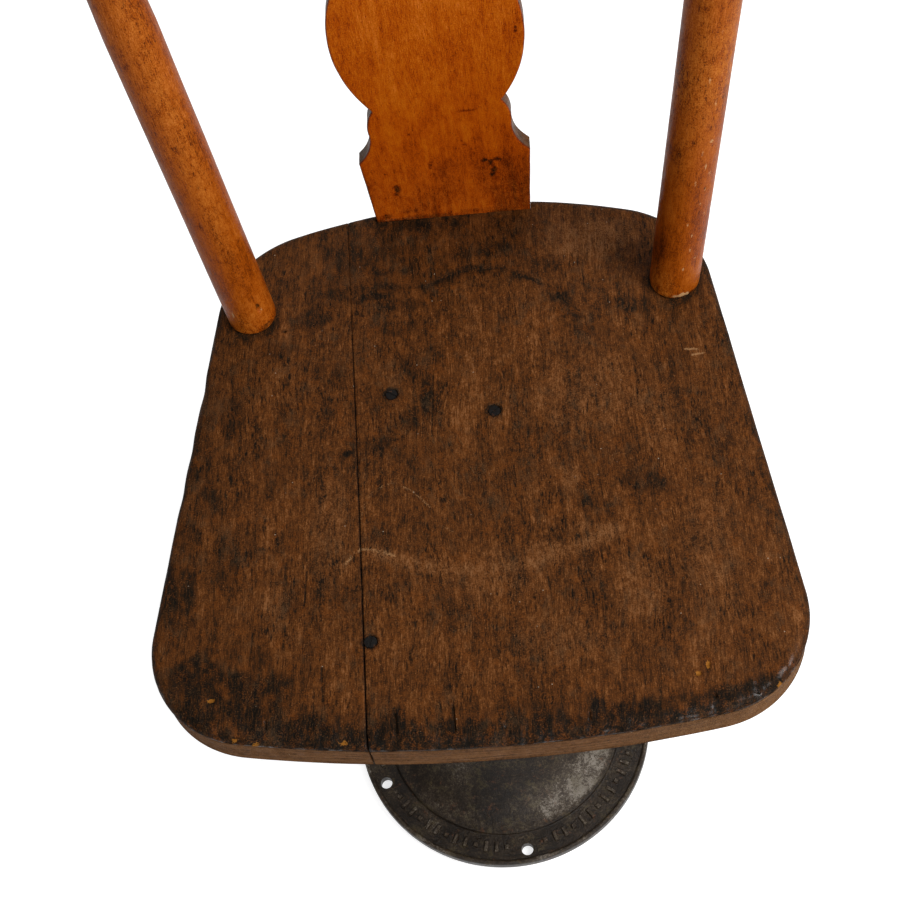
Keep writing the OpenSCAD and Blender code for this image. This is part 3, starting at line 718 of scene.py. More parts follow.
def steel(name, base, rust=0.5):
    """Small iron fasteners, dull and partly rusted."""
    g = Graph(name, Metallic=0.6)
    at = g.row_place()
    patches = g.step(g.noise(at, 3.0, 4, 0.65), 0.62 - 0.25 * rust, 0.72)
    colour = g.over(base, patches, (0.105, 0.042, 0.018))
    colour = g.scaled(colour, g.spread(g.noise(at, 0.9, 3), 0.4, 1.6))
    rough = g.spread(g.noise(at, 1.6, 3), 0.38, 0.72)
    return g.done(colour, rough, g.swung(0.0, (g.noise(at, 0.8, 3), 0.2)))


# ---- Frames of the back ----

BACK = Matrix.Translation((SEAT_MID, POST_Y, SEAT_TOP)) @ Matrix.Rotation(-BACK_LEAN, 4, "X")
CREST_SPAN = POST_SPACING / 2 + (BACK_RISE + CREST_H / 2) * tan(POST_SPLAY)
CREST_R = (CREST_SPAN**2 + CREST_BOW**2) / (2 * CREST_BOW)
CREST_HALF = POST_SPACING / 2 + BACK_RISE * tan(POST_SPLAY) + CREST_OVERHANG

crest_mid = BACK @ Vector((0, CREST_BOW, BACK_RISE))
SPLAT_LEAN = atan2(crest_mid.y - SPLAT_Y, crest_mid.z - SEAT_TOP)
SPLAT_RISE = hypot(crest_mid.y - SPLAT_Y, crest_mid.z - SEAT_TOP)
SPLAT = Matrix.Translation((SPLAT_X, SPLAT_Y, SEAT_TOP)) @ Matrix.Rotation(-SPLAT_LEAN, 4, "X")


def post_matrix(side):
    """The axes of a post, the left for side -1 and the right for 1, with Z up along it."""
    return (BACK @ Matrix.Translation((side * POST_SPACING / 2, 0, 0))
            @ Matrix.Rotation(side * POST_SPLAY, 4, "Y"))


# ---- Seat ----

LIP_W, LIP_H = 7.0, 4.4          # how far the worn top edge of the seat is rounded
BAND_DEPTH = 6.4                 # how far down the bare side of the seat starts
# The seat's side, as (depth below the top, how far it is drawn in).
SEAT_SIDE = [(4.9, 0.10), (5.4, 0.75), (5.9, 0.95), (6.4, 0.60), (7.0, 0.40), (9.0, 0.38), (11.5, 0.36),
             (14.0, 0.34), (16.5, 0.32), (19.0, 0.30), (21.5, 0.30), (24.0, 0.30), (26.4, 0.30)]
# Distances from the edge of the rings of points that shape it.
SEAT_RINGS = (0.2, 0.6, 1.2, 2.0, 3.0, 4.4, 6.2, 8.2)
TOP_PITCH, FINE_PITCH, SEAM_PITCH, UNDER_PITCH = 1.55, 0.55, 1.6, 7     # of the boards' meshes
# The notch for the splat's foot, as (left, right, y of its wall).
NOTCH = (SPLAT_X - FOOT_W / 2 - 0.1, SPLAT_X + FOOT_W / 2 + 0.1, SPLAT_Y - SPLAT_T / 2 - 0.1)
DISH_R = (DISH_D**2 / 4 + DISH_DEPTH**2) / (2 * DISH_DEPTH)

# Chips that show bright wood, as (x, y, radius along the edge, radius across it).
CHIPS = [(-173, -127, 2.6, 4.5), (-143, -128, 3.6, 2.6), (-129, -152, 3.6, 2.4), (-117, -155, 4, 2.2),
         (-66, -158, 4.5, 2.6), (178, -140, 2.4, 4.5), (134, -131, 3.4, 2.4), (140, -126, 2.2, 4.4)]
# Tears in the front edge, as (x, y of the inner end, length, width).
TEARS = [(-111, -143, 15, 2.4), (-37, -143, 17, 3.0), (-4, -140, 24, 1.8), (88, -159, 6, 2.2),
         (72, -150, 12, 2.0), (142, -144, 11, 3.0), (-151, -142, 9, 2.4), (-139, -146, 9, 2.4),
         (165, -139, 8, 2.4), (25, -155, 9, 1.6)]
BOLT_PLACES = [(reach * cos(turn), reach * sin(turn)) for reach, turn in
               zip(SEAT_BOLT_REACH, (pi / 2 - ARM_ANGLE, pi / 2 + ARM_ANGLE, -pi / 2 - ARM_ANGLE))]
NAIL_HOLE = (-106, 124)
# Pale scratches and scuffs, as (path, width, strength). The last is a chip with a painted glint.
SCUFFS_AND_GLINT = [([(-47, 2), (-42, 6), (-37, 7), (-31, 4), (-26, 1), (-20, -5), (-14, -12)], 3.2, 0.50),
          ([(-65, -46), (-61, -40), (-56, -37), (-50, -38), (-43, -40), (-36, -43)], 4.4, 0.70),
          ([(-9, -25), (-4, -27), (1, -31)], 3.0, 0.40), ([(-57, -17), (-54, -6), (-50, 1)], 4.0, 0.34),
          ([(149, 85), (158, 84)], 2.6, 1.5), ([(152, 80), (160, 81)], 2.2, 1.5),
          ([(-3, -142), (-2, -158)], 1.5, 0.35), ([(138, -157), (141, -156)], 3.0, 0.9)]
# Hairline cracks and single long pores.
CRACKS = [[(-10, 86), (-12, 38)], [(54, -64), (55, -72)], [(72, -59), (72, -67)],
          [(-89, -50), (-90, -72)], [(-79, -112), (-78, -133)], [(-120, -88), (-121, -104)]]
# Dark blotches, as (x, y, radius in x, radius in y, strength).
BLOTCHES = [(-14, 65, 9, 24, 0.8), (-27, 50, 12, 16, 0.6), (-46, 35, 20, 14, 0.5), (-24, 90, 12, 20, 0.6),
            (94, -23, 8, 10, 0.8), (80, -17, 7, 10, 0.8), (108, -4, 12, 12, 0.6),
            (-7, -74, 12, 16, 0.5), (88, 105, 16, 9, 0.4), (118, 122, 30, 13, 0.8),
            (-37, -148, 14, 15, 1.0), (73, -146, 19, 15, 1.0), (-150, 3, 14, 24, 0.7),
            (-165, -63, 16, 40, 0.8), (-140, -125, 74, 48, 1.1), (-105, -150, 70, 18, 1.0),
            (-110, 110, 28, 12, 0.6), (-20, 205, 72, 20, 1.0), (-37, 166, 30, 9, 0.8),
            (-30, 120, 34, 12, 0.6), (30, -147, 90, 13, 0.45), (120, -150, 50, 12, 0.6),
            (-80, 60, 22, 10, 0.4), (-140, 60, 14, 30, 0.6), (-45, 185, 80, 40, 0.65),
            (-100, -70, 12, 20, 0.5), (-138, -40, 16, 30, 0.55), (-118, 160, 30, 20, 0.45),
            (52, 176, 30, 8, 0.3), (140, 30, 16, 20, 0.3), (-52, 146, 26, 6, 1.0), (20, 162, 30, 5, 0.9),
            (-84, -104, 14, 26, 0.4), (150, -90, 10, 20, 0.4), (-60, 95, 20, 22, 0.3),
            (-65, 30, 4.5, 4.5, 1.3), (122, -7, 14, 16, 0.7), (74, 134, 14, 9, 0.7),
            (-62, 150, 36, 15, 0.75), (-88, 132, 26, 14, 0.6), (22, 176, 44, 11, 0.6),
            (-28, 138, 40, 10, 0.6), (62, 160, 26, 9, 0.5), (100, 100, 14, 26, 0.4),
            (-20, 30, 34, 26, 0.35), (10, 8, 50, 24, 0.3),
            (-75, 88, 24, 18, 0.45), (30, 20, 26, 40, 0.3), (-110, 20, 20, 34, 0.35)]
# Worn patches, as (x, y, radius in x, radius in y, strength). The one at (95, 178) is a painted sheen.
WORN_AND_SHEEN = [(92, -37, 13, 9, 0.9), (66, 43, 9, 14, 0.6), (72, 2, 10, 14, 0.55), (76, -33, 9, 6, 0.5),
        (54, -45, 20, 8, 0.7), (-107, -68, 16, 20, 0.35), (106, -78, 26, 30, 0.35),
        (90, 60, 60, 50, 0.35), (60, -105, 50, 26, 0.30), (-75, -20, 20, 70, 0.35),
        (150, -60, 24, 70, 0.40), (95, 178, 48, 26, 0.8), (20, -60, 60, 30, 0.30), (128, 40, 20, 50, 0.3)]
DISH_RIM = [(-58, 144), (-44, 154), (-14, 150), (12, 160), (36, 160), (60, 147), (76, 131), (84, 118)]
WORN_ARC = ((20, 92), 148, radians(242), radians(302))     # centre, radius, first and last angle
SIDE_MARK = [(125, -163, 413), (126, -162, 398)]


def seat_outline():
    """The seat's outer edge, counterclockwise, with its waves and worn places."""
    side_front = np.array([SEAT_FRONT_W / 2, SEAT_FRONT])
    side_back = np.array([SEAT_BACK_W / 2, SEAT_BACK])
    way = (side_back - side_front) / np.linalg.norm(side_back - side_front)
    inward = np.array([-way[1], way[0]])
    front_y, back_y = FRONT_BOW_R + SEAT_FRONT, SEAT_BACK - BACK_BOW_R

    def corner(bow_y, bow_r, radius, sign):
        start = side_front + radius * inward - [0, bow_y]
        along = start @ way
        gap = start @ start - (bow_r - radius) ** 2
        return [0, bow_y] + start + (-along + sign * sqrt(along**2 - gap)) * way

    front = corner(front_y, FRONT_BOW_R, FRONT_CORNER_R, -1)
    back = corner(back_y, BACK_BOW_R, BACK_CORNER_R, 1)
    side = atan2(-inward[1], -inward[0])
    front_turn = atan2(front[1] - front_y, front[0])
    back_turn = atan2(back[1] - back_y, back[0])
    half = np.vstack([
        arc((0, front_y), FRONT_BOW_R, -pi / 2, front_turn),
        arc(front, FRONT_CORNER_R, front_turn, side),
        line(front - FRONT_CORNER_R * inward, back - BACK_CORNER_R * inward),
        arc(back, BACK_CORNER_R, side, back_turn),
        arc((0, back_y), BACK_BOW_R, back_turn, pi / 2),
        [[0, SEAT_BACK]],
    ])
    outline = mirrored(half) + [SEAT_MID, 0]
    lost = 0.22 + 0.20 * noise(outline, 24, 3) + 0.03 * (1 + noise(outline, 5, 4))
    for y, depth in ((84, 0.9), (40, 0.6), (8, 0.8), (-40, 0.4)):
        lost += depth * spot(outline, (-162, y), (22, 15))
    return outline - lost[:, None] * outward(outline)


def seam_x(y):
    """How far to the right the seam between the boards lies at each y."""
    return SEAT_MID - SEAM_LEFT - y * tan(SEAM_SKEW)


def seam_gap(y):
    """Half the width of the open seam. It closes towards the back."""
    return np.interp(y, (SEAT_FRONT, 0, 120, 150), (0.34, 0.2, 0.12, 0.05)) + 0.02 * np.sin(y / 9)


def board_outline(edge, side):
    """One board's outline, and which of its points lie on the seat's outer edge."""
    away = side * (edge[:, 0] - seam_x(edge[:, 1])) - seam_gap(edge[:, 1])
    first = np.flatnonzero((away > 0) & (np.roll(away, 1) <= 0))[0]
    edge, away = np.roll(edge, -first, axis=0), np.roll(away, -first)
    count = int((away > 0).sum())
    outer = edge[away > 0.5]
    ends = []
    for inner_point, outer_point in ((0, -1), (count - 1, count)):
        share = away[inner_point] / (away[inner_point] - away[outer_point])
        ends.append(edge[inner_point] + share * (edge[outer_point] - edge[inner_point]))
    if side > 0:
        left, right, wall_y = NOTCH
        back = outer[:, 1] > wall_y - 20
        before = outer[~(back & (outer[:, 0] < right + 1))]
        after = outer[back & (outer[:, 0] < left - 1)]
        y_right = np.interp(right, outer[back][::-1, 0], outer[back][::-1, 1])
        y_left = np.interp(left, outer[back][::-1, 0], outer[back][::-1, 1])
        notch = np.vstack([line((right, y_right), (right, wall_y)),
                           line((right, wall_y), (left, wall_y)),
                           line((left, wall_y), (left, y_left)), [[left, y_left]]])
        outer_parts = [(before, True), (notch, False), (after, True)]
    else:
        outer_parts = [(outer, True)]
    start, end = ends
    y = line((0, end[1]), (0, start[1]), SEAM_PITCH)[1:, 1]
    seam = np.column_stack([seam_x(y) + side * seam_gap(y), y])
    parts = [([start], True), *outer_parts, ([end], True), (seam, False)]
    outline = np.vstack([points for points, _ in parts])
    is_outer = np.concatenate([np.full(len(points), kind) for points, kind in parts])
    return outline, is_outer


def dish(points):
    """How deep the shallow dish lies below the seat's top at each point."""
    away = np.linalg.norm(points[:, :2] - [SEAT_MID, DISH_Y], axis=1)
    return np.maximum(0, DISH_DEPTH - DISH_R + np.sqrt(DISH_R**2 - np.minimum(away, DISH_R) ** 2))


def tear_paths():
    """Each tear's line and width."""
    return [([(x, y), (x + 0.06 * length, y - length)], width) for x, y, length, width in TEARS]


def seat_loss(points):
    """How deep the wear has eaten into the top of the seat."""
    rough = 1 + 0.4 * noise(points, 1.4, 13)
    deep = strongest(
        0.10 * (1 + noise(points, (28, 40, 1), 11)) + 0.05 * (1 + noise(points, (5, 12, 1), 12)),
        *(1.3 * spot(points, (x, y), (rx, ry)) * rough for x, y, rx, ry in CHIPS),
        *(1.5 * stroke(points, path, width) for path, width in tear_paths()),
        *(0.6 * stroke(points, path, 1.4) for path in CRACKS))
    rim = stroke(points, DISH_RIM, 7) * (0.6 + 0.4 * noise(points, 9, 14))
    return deep + 0.5 * np.maximum(rim, 0)


def seat_detail_points():
    """Extra points where chips, tears, scratches and cracks need a finer mesh."""
    paths = tear_paths() + [(path, 2) for path in CRACKS] + [(path, width) for path, width, _ in SCUFFS_AND_GLINT]
    paths += [([(x - 0.1, y), (x + 0.1, y)], 2 * max(rx, ry)) for x, y, rx, ry in CHIPS]
    found = []
    for path, width in paths:
        path = np.array(path, float)
        box = np.vstack([path.min(axis=0) - width, path.max(axis=0) + width])
        points = grid(box, FINE_PITCH)
        found.append(points[stroke(points, path, width * 1.5) > 0])
    return np.vstack(found)


def seat_board(name, side, edge, material, nodes_to_cut):
    """One board, the left for side -1 and the right for 1, cut out for the pieces it holds."""
    outline, is_outer = board_outline(edge, side)
    left, right, wall_y = NOTCH
    on_notch_wall = ~is_outer & (np.abs(outline[:, 1] - wall_y) < 0.01)

    def clear_of_joints(points, margin):
        from_seam = side * (points[:, 0] - seam_x(points[:, 1])) - seam_gap(points[:, 1])
        in_notch = ((points[:, 0] > left - margin) & (points[:, 0] < right + margin)
                    & (points[:, 1] > wall_y - margin))
        return (from_seam > margin) & ~in_notch

    def clear_of_edge(points, margin):
        points = points[inside(points, edge)]
        return points[edge_distance(points, edge) > margin]

    def rings(distances, margin):
        found = np.vstack([edge - distance * outward(edge) for distance in distances])
        return found[clear_of_joints(found, margin)]

    def top_points():
        middle, details = grid(edge, TOP_PITCH), seat_detail_points()
        taken = set(map(tuple, np.round(details / TOP_PITCH).astype(int)))
        middle = middle[[tuple(cell) not in taken for cell in np.round(middle / TOP_PITCH).astype(int)]]
        middle = np.vstack([middle, details])
        middle = clear_of_edge(middle[clear_of_joints(middle, 1.1)], SEAT_RINGS[-1] + 0.5)
        y = line((0, SEAT_FRONT), (0, SEAT_BACK), SEAM_PITCH)[:, 1]
        arris = [np.column_stack([seam_x(y) + side * (seam_gap(y) + away), y]) for away in (0.25, 0.6)]
        arris = clear_of_edge(np.vstack(arris), SEAT_RINGS[-1] + 0.3)
        return np.vstack([rings(SEAT_RINGS, 0.35), middle, arris])

    def bottom_points():
        coarse = grid(edge, UNDER_PITCH)
        coarse = clear_of_edge(coarse[clear_of_joints(coarse, 3)], 4)
        return np.vstack([coarse, rings((0.5, 1.5), 2.2)])

    def place_top(points):
        distance = edge_distance(points, edge)
        ragged = 0.5 * noise(points, 3.2, 21) * smooth(distance, 4.5, 1) * smooth(points[:, 1], -90, -140)
        joint = -side * (points[:, 0] - seam_x(points[:, 1])) + seam_gap(points[:, 1])
        z = SEAT_TOP - dish(points) - lip(np.maximum(distance + ragged, 0), LIP_W, LIP_H)
        z -= seat_loss(points) * smooth(distance, -0.5, 1.5)
        z -= 0.3 * smooth(joint, -0.6, 0)
        return np.column_stack([points, z])

    def tilted(points, z):
        """The notch's wall leans with the splat."""
        points = points.copy()
        points[: len(outline)][on_notch_wall, 1] -= (SEAT_TOP - z) * tan(SPLAT_LEAN)
        return np.column_stack([points, np.full(len(points), float(z))])

    def place_bottom(points):
        placed = tilted(points, SEAT_UNDER)
        placed[:, 2] += lip(edge_distance(points, edge), 1.6, 1.0)
        return placed

    def wall(depth, cut_in):
        """The outline at a depth below the seat's top, drawn in and worn."""
        ring = in_space(outline) + [0, 0, SEAT_TOP - depth]
        sunk = cut_in + 0.10 * (1 + noise(ring, (26, 26, 1.6), 22))
        sunk += 0.4 * patchy(ring, (9, 9, 5), 23, 0.5, 0.9)
        return tilted(outline - (sunk * is_outer)[:, None] * outward(outline), SEAT_TOP - depth)

    walls = [wall(depth, cut_in) for depth, cut_in in SEAT_SIDE]
    board = slab(name, outline, top_points(), bottom_points(), place_top, place_bottom, walls)
    for node in nodes_to_cut:
        combine(board, grown(node))
    for x, y in BOLT_PLACES:
        if side * (x - seam_x(y)) > 0:
            combine(board, cylinder((x, y, SEAT_TOP - 5.2), (x, y, SEAT_TOP + 5), SEAT_BOLT_HEAD_R + 0.25))
    if side < 0:
        combine(board, cylinder((*NAIL_HOLE, SEAT_TOP - 7), (*NAIL_HOLE, SEAT_TOP + 5), 1.0, 12))
    paint_seat(board, edge)
    finish_piece(board, material, "seat_wood", name)


def paint_seat(board, edge):
    points = points_of(board)
    x, y, z = points.T
    distance = edge_distance(points[:, :2], edge)
    deep = SEAT_TOP - z
    on_side = distance < 2.5
    on_top = smooth(deep, BAND_DEPTH, BAND_DEPTH - 1.2)
    band = smooth(deep, BAND_DEPTH - 0.4, BAND_DEPTH + 0.3) * on_side * smooth(deep, 27.6, 26.8)
    under = smooth(z, SEAT_UNDER + 2.2, SEAT_UNDER + 0.8) * (distance > 0.5)
    ragged = 1 + 0.5 * noise(points, (7, 10, 7), 31) + 0.35 * noise(points, (2.5, 6, 2.5), 32)

    rough = 1 + 0.4 * noise(points, 1.6, 36)
    chip = strongest(*(spot(points, (cx, cy), (rx, ry)) * rough for cx, cy, rx, ry in CHIPS)) * on_top
    chip = np.maximum(chip, 0.6 * band * patchy(points, (9, 9, 3), 38, 0.72, 0.9))
    broken = patchy(points, (2.2, 2.2, 2.2), 37, -0.9, 0.3)
    # Pale scuffs, and a pale chip with a painted glint at the front right corner.
    scuffs_and_glint = strongest(*(1.1 * strength * stroke(points, path, width) * broken
                         for path, width, strength in SCUFFS_AND_GLINT))
    side_mark = 0.5 * stroke(points, SIDE_MARK, 2.2)
    pale = strongest(scuffs_and_glint * on_top, side_mark, 0.35 * band * smooth(x, 60, 130))
    gap = np.abs(x - seam_x(y)) < seam_gap(y) + 0.12
    gap = gap * np.interp(y, (100, 150), (1.0, 0.3)) * (1 - 0.5 * band)
    # A near-black line in the groove under the worn lip: dirt and painted shade, stored with the open seam.
    groove_dirt_and_shade = on_side * smooth(np.abs(deep - BAND_DEPTH + 0.7), 1.5, 0.8)
    gap = np.maximum(gap, 0.9 * groove_dirt_and_shade * patchy(points, (9, 9, 9), 35, -1.1, -0.3))
    swirl = spot(points, (10, 30), (75, 80)) * patchy(points, (16, 22, 9), 41, -0.9, 0.3) * on_top
    gloss = smooth(distance, 24, 5) * smooth(y, -95, -150) * on_top
    gloss *= patchy(points, (1.7, 7, 7), 39, 0.1, 0.6)

    paint(board, "local", points)
    paint_masks(board, dirt=seat_dirt(points, distance, ragged) * (1 - 0.8 * band),
                worn=seat_worn(points, ragged) * on_top, chip=chip, pale=pale, band=band, under=under,
                gap=gap, gloss=gloss, swirl=swirl)


def seat_dirt(points, distance, ragged):
    """How dark dirt and old finish, and painted shade around the posts' feet, make each point of the seat.
    """
    x, y, _ = points.T
    left = smooth(x, 110, -30)
    rim = stroke(points, DISH_RIM, 17) * (0.75 + 0.5 * noise(points, 8, 33))
    core = stroke(points, DISH_RIM, 5) * patchy(points, 14, 40, -0.5, 0.1)
    front = smooth(y, -115, -156) * smooth(distance, 28, 4)
    edging = smooth(distance, 30, 0) * patchy(points, (16, 26, 16), 34, -0.7, 0.5) * np.maximum(left, 0.2)
    feet = [(SEAT_MID + side * POST_SPACING / 2, POST_Y - 3) for side in (-1, 1)]
    return strongest(
        spots(points, BLOTCHES, ragged),
        0.75 * rim,
        1.1 * core,
        0.9 * smooth(front * ragged, 0.1, 0.85),
        0.6 * edging,
        0.6 * smooth(distance, 5, 1.5),
        0.36 * smooth(y, 100, 160) * np.maximum(left, 0.15),
        spot(points, NAIL_HOLE, (3.5, 3.5)),
        *(1.3 * smooth(spot(points, place, (8.5, 7.5)) * ragged, 0.0, 0.7) for place in BOLT_PLACES),
        # Dark around the posts' feet: dirt and painted shade.
        *(0.8 * smooth(spot(points, foot, (28, 27)) * ragged, 0, 0.5) for foot in feet),
        *(1.3 * stroke(points, path, width * 1.4) for path, width in tear_paths()),
        *(1.1 * stroke(points, path, 2.0) for path in CRACKS))


def seat_worn(points, ragged):
    """How far each point of the seat is worn down to paler wood, with a painted sheen at the back right."""
    centre, radius, start, end = WORN_ARC
    paler_band = 0.75 * stroke(points, arc(centre, radius, start, end, 12), 15) * ragged
    return np.maximum(spots(points, WORN_AND_SHEEN, ragged), paler_band)


# ---- Posts ----

# Marks on a post, as (height above the seat, angle about the post, length along it, width).
POST_PITS = {-1: [(161, -44, 1.6, 1.6), (174, -45, 1.6, 1.6), (211, -107, 1.6, 4), (150, -81, 2.4, 2.4),
                  (195, -23, 1.6, 1.6), (120, -70, 1.8, 1.8), (92, -100, 2.2, 1.6), (70, -30, 1.6, 1.6)],
             1: [(150, -130, 1.5, 1.5), (85, -60, 1.5, 1.5), (120, -100, 1.4, 1.4)]}
POST_SCRATCHES = {-1: [(15, -117, 1.6, 5)],
                  1: [(102, -66, 1.4, 4), (147, -64, 1.2, 3.4), (163, -85, 1.2, 3.4), (194, -73, 2, 1.2),
                      (49, -75, 1.2, 3), (37, -74, 1.2, 3), (120, -60, 3, 1.2), (112, -78, 1.2, 2.6),
                      (96, -52, 2.6, 1.2), (90, -84, 1.2, 3), (84, -58, 1.2, 3), (74, -66, 2.6, 1.1),
                      (64, -50, 1.2, 2.6), (58, -88, 1.2, 2.4), (30, -58, 2.4, 1.1), (22, -84, 1.2, 2.6)]}


KNOCK = (17, -51)                               # the hole in the left post, as (height, angle)
FOOT_CHIPS = [(-72, 4.2), (-90, 2.6), (-55, 2.0)]   # along the right post's foot, as (angle, width)
# Dark patches on the right post, as (height, angle, length, strength).
POST_PATCHES = [(160, -148, 24, 0.30), (110, -150, 18, 0.36), (32, -150, 28, 0.45)]


def on_post(height, angle):
    """The place on a post's surface at a height above the seat and an angle in degrees."""
    return (POST_R * cos(radians(angle)), POST_R * sin(radians(angle)), height)


def back_post(name, side, material):
    """A turned post, the left for side -1 and the right for 1, with a tenon at each end."""
    place = post_matrix(side)
    turn = np.array(place.to_3x3())
    tilt = -turn[2, :2] / turn[2, 2]        # how the level seat slopes in the post's own axes
    crest_tilt = np.array([side * tan(POST_SPLAY), 0])

    foot, straight, end = -SEAT_T / turn[2, 2], POST_LEN - POST_TAPER, POST_LEN + TOP_TENON_LEN
    scarred = 34                            # below this height the foot's scars need finer rings
    rings = np.append(np.arange(3, scarred, 1.1), np.arange(scarred, straight, 2.2))
    profile = [(0, foot), (FOOT_TENON_R - 0.6, foot), (FOOT_TENON_R, foot + 0.6)]
    profile += [(FOOT_TENON_R, z) for z in (-18, -9, 0.05)]
    profile += [(POST_R - 1.2, 0.05), (POST_R - 0.5, 0.3), (POST_R - 0.1, 0.9), (POST_R, 1.8)]
    profile += [(POST_R, z) for z in rings]
    profile += [(np.interp(z, (straight, POST_LEN), (POST_R, POST_TOP_R)), z)
                for z in np.arange(straight, POST_LEN - 1, 2.2)]
    profile += [(POST_TOP_R, POST_LEN - 0.1), (TOP_TENON_R, POST_LEN - 0.1)]
    profile += [(TOP_TENON_R, end - 1), (TOP_TENON_R - 1, end), (0, end)]

    def fit(points):
        """Follows the seat and the crest rail at the ends, and wears the turned surface."""
        height = points[:, 2]
        near_seat = smooth(height, 60, 0)
        near_crest = smooth(height, POST_LEN - 60, POST_LEN) * smooth(height, POST_LEN + 8, POST_LEN)
        around = np.linalg.norm(points[:, :2], axis=1)
        shown = (around > FOOT_TENON_R + 0.5) & (height > 0)
        lost = 0.09 * (1 + noise(points, (14, 14, 45), 41 + side)) + 0.03 * (1 + noise(points, 4, 43))
        for z, angle, along, across in POST_PITS[side]:
            lost += 0.5 * spot(points, on_post(z, angle), (across, across, along))
        if side < 0:
            lost += 2.2 * spot(points, on_post(*KNOCK), (2.0, 2.0, 3.6))
        else:
            for angle, width in FOOT_CHIPS:
                lost += 0.7 * spot(points, on_post(0, angle), (width, width, 2.6))
        scale = np.where(shown, 1 - lost / np.maximum(around, 1), 1)
        fitted = points * np.column_stack([scale, scale, np.ones(len(points))])
        fitted[:, 2] += near_seat * (points[:, :2] @ tilt) + near_crest * (points[:, :2] @ crest_tilt)
        return moved(fitted, place)

    post = lathe(name, profile, 168, fit)
    combine(post, grown("post_wedges", 0.03))
    combine(post, grown("crest_pegs", 0.05))
    paint_post(post, side, place)
    finish_piece(post, material, "post_wood", name)


def paint_post(post, side, place):
    points = moved(points_of(post), place.inverted())
    height = points[:, 2]
    facing = noise(points, (9, 9, 26), 51 + side)
    dirt = [0.95 * spot(points, on_post(z, angle), (across, across, along))
            for z, angle, along, across in POST_PITS[side]]
    # Dark in a ring at the foot, where the post meets the seat: dirt and painted shade; and darker just
    # below the crest rail.
    dirt.append(0.7 * smooth(height, 2.6, 0.6) * patchy(points, 3, 54, -0.6, 0.6))
    dirt.append(0.5 * smooth(height, POST_LEN - 5, POST_LEN - 1))
    worn = [0.8 * smooth(height, 34, 0) * smooth(facing, -0.9, 0.4)]
    pale = [0.85 * spot(points, on_post(z, angle), (along, along, across))
            for z, angle, along, across in POST_SCRATCHES[side]]
    if side < 0:
        dirt.append(2.2 * spot(points, on_post(*KNOCK), (2.2, 2.2, 4.0)))
        pale.append(0.8 * spot(points, on_post(13.5, -46), (1.6, 1.6, 2.0)))
        # A paler band down the front right of the left post, where the light falls: a painted highlight.
        paler_band = np.exp(-((np.degrees(np.arctan2(points[:, 1], points[:, 0])) + 62) / 26) ** 2)
        worn.append(0.8 * paler_band * smooth(height, 20, 90) * smooth(facing, -1.2, 0.3))
    else:
        for z, angle, long, strength in POST_PATCHES:
            patch = spot(points, on_post(z, angle), (10, 12, long)) + 0.3 * facing
            dirt.append(strength * smooth(patch, 0.1, 0.9))
        chipped = spot(points, on_post(0, -72), (6, 6, 3.2)) + 0.3 * noise(points, 1.3, 53)
        pale.append(0.95 * smooth(chipped, 0.25, 0.55))
        pale.append(0.8 * spot(points, on_post(-1, -92), (5, 5, 2.2)))
        worn.append(0.95 * smooth(height, 60, 160) * smooth(facing, -1.1, 0.4))
    paint(post, "local", points)
    paint_masks(post, dirt=strongest(*dirt), worn=strongest(*worn), pale=strongest(*pale))


# ---- Splat ----

# Dark stains on the front of the splat, as (x, height, radius in x, radius in height, strength).
SPLAT_STAINS = [(30.5, 41, 3.6, 6.5, 0.8), (29, 36, 3.2, 3.0, 0.8), (26, 50, 4.6, 2.2, 0.8),
                (33, 50, 5.0, 2.0, 0.8), (29, 47, 2.8, 4.4, 0.8), (-34, 30, 3.6, 6.0, 0.9),
                (-35, 25, 2.4, 3, 0.7), (-10, 49, 1.6, 6, 0.7), (-8, 53, 1.6, 4, 0.5),
                (-20, 79, 2.2, 3.4, 0.5), (53, 158, 1.2, 7.0, 1.0), (-26, 167, 1.6, 1.6, 0.8),
                (36, 28, 1.4, 1.4, 0.7), (-30, 8, 12, 4, 0.3), (18, 95, 10, 1.0, 0.5), (-44, 4, 8, 4, 0.5),
                (20, 3, 30, 3, 0.3), (14, 66, 1.8, 1.8, 0.5), (-40, 45, 1.4, 1.4, 0.6)]


def splat_outline():
    """The splat's outline, as (x, height above the seat along the splat)."""
    bulb_x = BULB_W / 2 - BULB_R
    neck_x = NECK_W / 2 + NECK_R
    neck_h = BULB_H + sqrt((BULB_R + NECK_R) ** 2 - (neck_x - bulb_x) ** 2)
    meet = atan2(neck_h - BULB_H, neck_x - bulb_x)
    cusp_turn = asin((CUSP_H - BULB_H) / BULB_R)
    cusp = (bulb_x + BULB_R * cos(cusp_turn), CUSP_H)
    waist = (WAIST_W / 2, WAIST_H)
    flare = acos((neck_x - SPLAT_TOP_W / 2) / NECK_R)
    low, high = -SEAT_T - 0.5, SPLAT_RISE + TONGUE_LEN - 2
    half = np.vstack([
        line((0, low), (FOOT_W / 2, low), 3),
        line((FOOT_W / 2, low), (FOOT_W / 2, 0)),
        line((FOOT_W / 2, 0), (EAR_W / 2, EAR_H), 1.5),
        arc_between((EAR_W / 2, EAR_H), waist, -COVE_R, 1.2),
        arc_between(waist, cusp, SHOULDER_R, 1.2),
        arc((bulb_x, BULB_H), BULB_R, cusp_turn, meet, 1.5),
        arc((neck_x, neck_h), NECK_R, pi + meet, pi - flare, 1.5),
        line((SPLAT_TOP_W / 2, neck_h + NECK_R * sin(flare)), (SPLAT_TOP_W / 2, high)),
        line((SPLAT_TOP_W / 2, high), (0, high), 3),
        [[0, high]],
    ])
    return mirrored(half)


